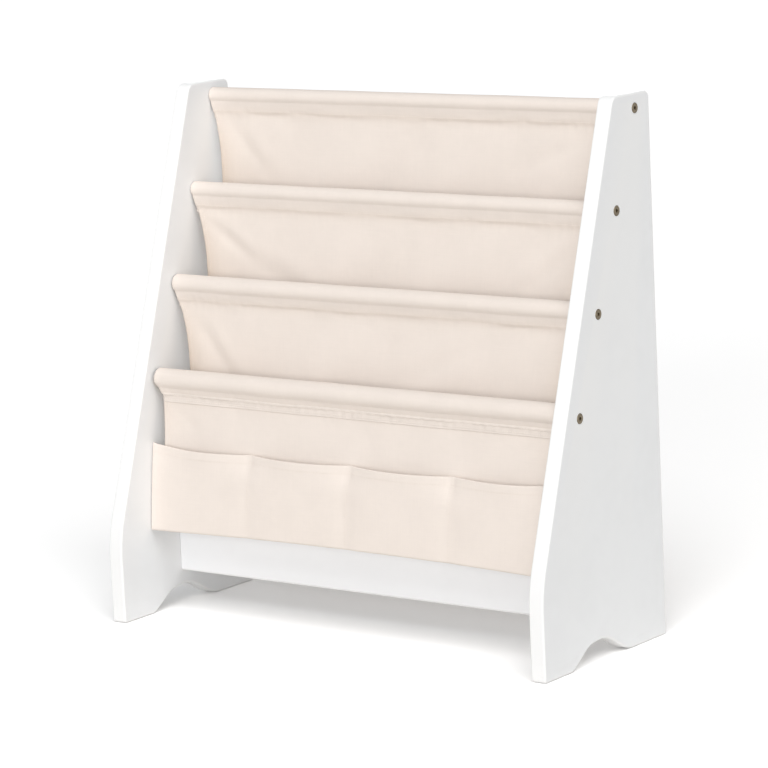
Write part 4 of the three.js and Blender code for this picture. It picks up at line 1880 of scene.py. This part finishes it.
@dataclass(kw_only=True)
class PouchBack(HungCloth):
    """The lowest wall, which the pouch is sewn to."""

    wall_steps: int = 62

    @property
    def top(self) -> float:
        """The height of the pouch's mouth."""
        return self.rod.z - POUCH.mouth_below_rod

    @property
    def bottom(self) -> float:
        """The height of the pouch's base."""
        return self.top - POUCH.height

    @property
    def held_half(self) -> float:
        """Half the wall's width beside the pouch."""
        return self.half - self.fit.pinch - self.fit.side_draw * SIZES.free(POUCH.mouth_drop)

    def hanging_path(self) -> list[PathStep]:
        """The wall, which is held by the pouch from its mouth down."""
        return [step._replace(draw=min(step.draw, SIZES.free(POUCH.mouth_drop)),
                              loose=step.loose * max(step.z - self.top, 0.0) / POUCH.mouth_drop,
                              rise=POUCH.base_rise * held((self.top - step.z) / POUCH.height))
                for step in self.wall_path(self.bottom)]

    def rise_at(self, x: float) -> float:
        """How far the base is drawn up at a place across the shelf."""
        return POUCH.base_rise * max(1 - (x / self.held_half) ** 2, 0.0)

    def depth_at(self, x: float, height: float) -> float:
        """Y of the wall's middle at a place and height beside the pouch."""
        share = self.rise_at(x) / POUCH.height
        return self.wall_depth((height - share * self.top) / (1 - share))

    def build(self) -> None:
        """Makes the wall with its lip, hems and stitches."""
        sheet = self.sheet("pouch_back_wall", "pouch_back")
        hems = self.side_hems("pouch_back_wall", len(self.steps) - 1)
        lip = self.strip("lower_sleeve_band", [self.lip_row(share) for share in shares(16)],
                         lambda part, row: (2 * part - 1) * POUCH.lip_edge, self.lip_lift, 220,
                         POUCH.lip_thickness)
        mouth_row = next(i for i, s in enumerate(self.steps) if i > self.seam_index and s.z < self.top)
        lines = [self.lip_line(part) for part in POUCH.lip_stitches] + self.hem_lines(mouth_row)
        self.declare(sheet, [*hems, lip, Stitches("pouch_back_stitches", lines).build()])

    def lip_row(self, part: float) -> float:
        """The row at a place down the lip, from 0 to 1."""
        return self.row_of(self.runs[self.seam_index] - POUCH.lip_above + POUCH.lip_width * part)

    def lip_lift(self, x: float, part: float) -> float:
        """How far the puckered lip's middle stands off the wall's middle.

        Args:
            x: the place across the shelf.
            part: the place down the lip, from 0 to 1.

        Returns:
            The distance.
        """
        ruffle = math.sin(math.tau * x / POUCH.ruffle_pitch + 2.6 * ripple(x * 30, 1.0, 0))
        ruffle += 1.4 * ripple(x * 48, part * 1.2, 4.0)
        swell = (0.26 * ruffle + math.sin(math.pi * min(part * 1.15, 1.0))) * part * MM
        swell *= 0.3 + 0.7 * eased(held((x - POUCH.open_from) / POUCH.open_span))
        return (SIZES.thickness / 2 + POUCH.lip_stand) * min(part / 0.2, 1.0) + swell

    def lip_line(self, part: float) -> list[Vector]:
        """A line of stitches on the lip.

        Args:
            part: the place down the lip, from 0 to 1.

        Returns:
            The line.
        """
        row, line = self.lip_row(part), []
        for share in THREAD_SHARES:
            across = (2 * share - 1) * POUCH.lip_stitch_edge
            stand = self.lip_lift(across * self.half, part) + POUCH.lip_stand
            line.append(self.place(across, row, stand))
        return line


@dataclass
class PouchFront:
    """The front of the pouch: sewn to the wall behind it at its sides, dividers and base."""

    back: PouchBack
    cells: int = 26
    fall_steps: int = 44
    hem_steps: int = 8

    def __post_init__(self) -> None:
        """Takes its width from the wall behind it."""
        self.half = self.back.half + self.back.fit.end_gap - SIZES.end_gap - SIZES.layer / 2
        self.compartment = 2 * self.half / POUCH.compartments
        self.columns = self._columns()

    def _columns(self) -> list[tuple[float, float, float]]:
        """Lays out the front's columns.

        Returns:
            X, bulge and drop of the mouth for each column, from left to right.
        """
        back_half = self.back.held_half - SIZES.layer / 2
        edge = POUCH.side_fold / POUCH.bulge
        columns = []
        for part in range(POUCH.compartments):
            for share in shares(self.cells)[:-1]:
                x = -self.half + (part + share) * self.compartment
                if abs(x) >= self.half - POUCH.side_turn - 0.2 * MM:
                    continue
                sag = math.sin(math.pi * share)
                full, side = sag ** 0.6, edge * {0: 1 - share, POUCH.compartments - 1: share}.get(part, 0.0)
                bulge = 0.5 * (full + side + math.sqrt((full - side) ** 2 + 0.004))
                if abs(x) < self.half - self.compartment / 2:
                    bulge = min(bulge, full + 0.02)
                drop = POUCH.side_drop * (1 - fade(self.half - abs(x), POUCH.side_reach))
                columns.append((x, bulge, drop + POUCH.sag * sag))
        ends = []
        for angle in (math.pi / 2 * share for share in shares(6)):
            ends.append((self.half - POUCH.side_turn * (1 - math.sin(angle)),
                         edge - 0.28 * edge * (1 - math.cos(angle)), 0.0))
        for share in shares(6, 1):
            ends.append((self.half - (self.half - back_half) * share ** 1.6, edge * 0.72 * (1 - share),
                         POUCH.side_wall_drop * math.sin(math.pi / 2 * min(share * 1.5, 1.0))))
        for share in shares(2, 1):
            ends.append((back_half - POUCH.sewn_width * share, 0.0, POUCH.side_wall_drop))
        return [*((-x, bulge, drop) for x, bulge, drop in reversed(ends)), *columns, *ends]

    def place(self, column: int, row: float, lift: float = 0.0) -> Vector:
        """A point of the pouch front.

        Args:
            column: the column's number.
            row: the place down, from -1 inside the hem over 0 at the mouth to 1 at the base.
            lift: how far the point stands out in front.

        Returns:
            The point.
        """
        x, mouth_bulge, drop = self.columns[column]
        share = held(row)
        bulge = self._evened(x, mouth_bulge, share)
        top, base = self.back.top - drop, self.back.bottom + self.back.rise_at(x)
        height = top + (base - top) * share
        swell = POUCH.bulge + (POUCH.base_bulge - POUCH.bulge) * share
        belly = 1 + 0.10 * math.sin(math.pi * share)
        seated = self.back.depth_at(x, height) - SIZES.layer - SIZES.gap
        hem_share = max(1 - share * (top - base) / POUCH.mouth_hem, 0.0)
        forward = POUCH.hem_forward * min(hem_share * 3, 1.0) * (1 - min(bulge * 2, 1.0))
        slack = POUCH.broad_slack * ripple(x * 9, height * 14, 3.1)
        slack += POUCH.fine_slack * ripple(x * 30, height * 34, 8.7)
        depth = seated - swell * bulge * belly - forward - lift
        depth -= slack * min(bulge, 1.0) * min(share * 4, 1.0)
        if row < 0:
            turn = min(-row * 6, 1.0) * math.pi
            depth += POUCH.hem_round * (1 - math.cos(turn))
            height += POUCH.hem_round * math.sin(turn) - POUCH.mouth_hem * max(-row - 1 / 6, 0.0) * 6 / 5
        if row > 1:
            tuck = min((row - 1) / POUCH.tuck_share, 1.0) * math.pi / 2
            depth += (seated - depth) * (1 - math.cos(tuck))
            height += bulge * (SIZES.layer * math.sin(tuck) - POUCH.tuck_sink * math.sin(2 * tuck))
        return Vector((x, depth, height))

    def _evened(self, x: float, bulge: float, share: float) -> float:
        """The bulge below the mouth, where the cloth evens out between shallow dividers.

        Args:
            x: the place across the shelf.
            bulge: the bulge at the mouth.
            share: the place down the front, from 0 to 1.

        Returns:
            The bulge there.
        """
        inside = self.half - POUCH.sewn_edge - abs(x)
        if inside < 0:
            return bulge
        spot = (x + self.half) / self.compartment
        nearest = abs(spot - round(spot)) * self.compartment
        if abs(x) > self.half - self.compartment / 2:
            nearest = self.compartment / 2
        even = 0.93 - 0.17 * bell(nearest, POUCH.divider_reach)
        below_mouth, off_side = eased(min(share / 0.33, 1.0)), min(inside / POUCH.ease_reach, 1.0)
        return bulge + (even - bulge) * below_mouth * off_side

    def build(self) -> None:
        """Makes the pouch front with its stitches."""
        rows = [*(share * 5 / 6 - 1 for share in shares(self.hem_steps)[:-1]),
                *((share - 1) / 6 for share in shares(6)[:-1]),
                *shares(self.fall_steps), *(1 + POUCH.tuck_share * share for share in shares(6, 1))]
        across, down = len(self.columns) - 1, len(rows) - 1
        widths = run_lengths([self.place(column, 0.4) for column in range(across + 1)])
        lengths = run_lengths([self.place(across // 2 + 9, row) for row in rows])

        def weave(column: int, row: int) -> Spot:
            """What the front is like at a column and a row, counted from its base."""
            return Spot((widths[column], -lengths[down - row]), self.place(column, rows[down - row]))

        sheet = woven("pouch_front_panel", across, down, weave, SIZES.thickness, "pouch_front")
        stitches = Stitches("pouch_front_stitches", self._lines()).build()
        LOG.info("%s: flat %.3f x %.3f m", sheet.name, widths[-1], lengths[-1])

    def _lines(self) -> list[list[Vector]]:
        """Lays the lines of stitches.

        Returns:
            A line along the mouth's hem, and one down each divider.
        """
        stand, places = SIZES.thread_stand, [column[0] for column in self.columns]
        first = next(i for i, x in enumerate(places) if x > -self.half + POUCH.side_turn)
        last = len(places) - 1 - first
        mouth = []
        for share in THREAD_SHARES:
            spot = first + (last - first) * share
            index = min(int(spot), last - 1)
            a, b = (self.place(i, POUCH.mouth_stitch_row, stand) for i in (index, index + 1))
            mouth.append(a.lerp(b, spot - index))
        dividers = [-self.half + number * self.compartment for number in range(1, POUCH.compartments)]
        nearest = [min(range(len(places)), key=lambda i, x=x: abs(places[i] - x)) for x in dividers]
        return [mouth, *([self.place(i, 0.99 * share, stand) for share in THREAD_SHARES] for i in nearest)]


@dataclass
class CanvasSet:
    """All the cloth: three pockets, and the wall with the pouch."""

    fits: dict[str, SleeveFit] = field(default_factory=lambda: {
        "top": SleeveFit(side_draw=14 * MM, pinch=2.5 * MM, creases=(
            Crease(Side.LEFT, (0.018, 0.004), (0.085, 0.070), 1.5 * MM, 9 * MM),
            Crease(Side.RIGHT, (0.015, 0.006), (0.120, 0.050), 1.3 * MM, 9 * MM),
        )),
        "upper": SleeveFit(creases=(
            Crease(Side.LEFT, (0.014, 0.012), (0.084, 0.056), 2.4 * MM, 8 * MM),
            Crease(Side.LEFT, (0.080, 0.060), (0.200, 0.110), 1.2 * MM, 12 * MM),
            Crease(Side.RIGHT, (0.015, 0.010), (0.095, 0.075), 1.7 * MM, 9 * MM),
        )),
        "middle": SleeveFit(slack=3.0 * MM, seam_drop=18 * MM, end_gap=1.5 * MM, creases=(
            Crease(Side.LEFT, (0.020, 0.010), (0.090, 0.090), 1.5 * MM, 9 * MM),
            Crease(Side.RIGHT, (0.130, 0.020), (0.260, 0.085), 1.7 * MM, 13 * MM),
        )),
        "lower": SleeveFit(slack=5.5 * MM, seam_drop=15.5 * MM, end_gap=3.0 * MM, side_draw=5 * MM,
                           pinch=6 * MM, edge_curl=3.0 * MM, curl_reach=7 * MM, creases=(
            Crease(Side.LEFT, (0.014, 0.006), (0.060, 0.045), 1.1 * MM, 7 * MM),
            Crease(Side.RIGHT, (0.014, 0.006), (0.070, 0.040), 1.1 * MM, 7 * MM),
        )),
    })

    def build(self) -> None:
        """Makes all the cloth."""
        for index, (rod, below) in enumerate(pairwise(RODS)):
            SlingPocket(rod_name=rod, phase=index / 4, fit=self.fits[rod], below=below,
                        below_fit=self.fits[below]).build()
        back = PouchBack(rod_name="lower", phase=0.0, fit=self.fits["lower"])
        back.build()
        PouchFront(back).build()


def main() -> None:
    """Builds the shelf, piece by piece."""
    logging.basicConfig(level=logging.INFO, format="%(name)s: %(message)s")
    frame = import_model()
    Portrait().shoot()
    Studio().light()
    dress_nodes(frame["nodes"])
    for side in Side:
        SidePanel(side).build()
        CamLock(side).build()
        for rod in RODS:
            RodBolt(rod, side).build()
    TieBoard().build()
    CanvasSet().build()


if __name__ == "__main__":
    main()
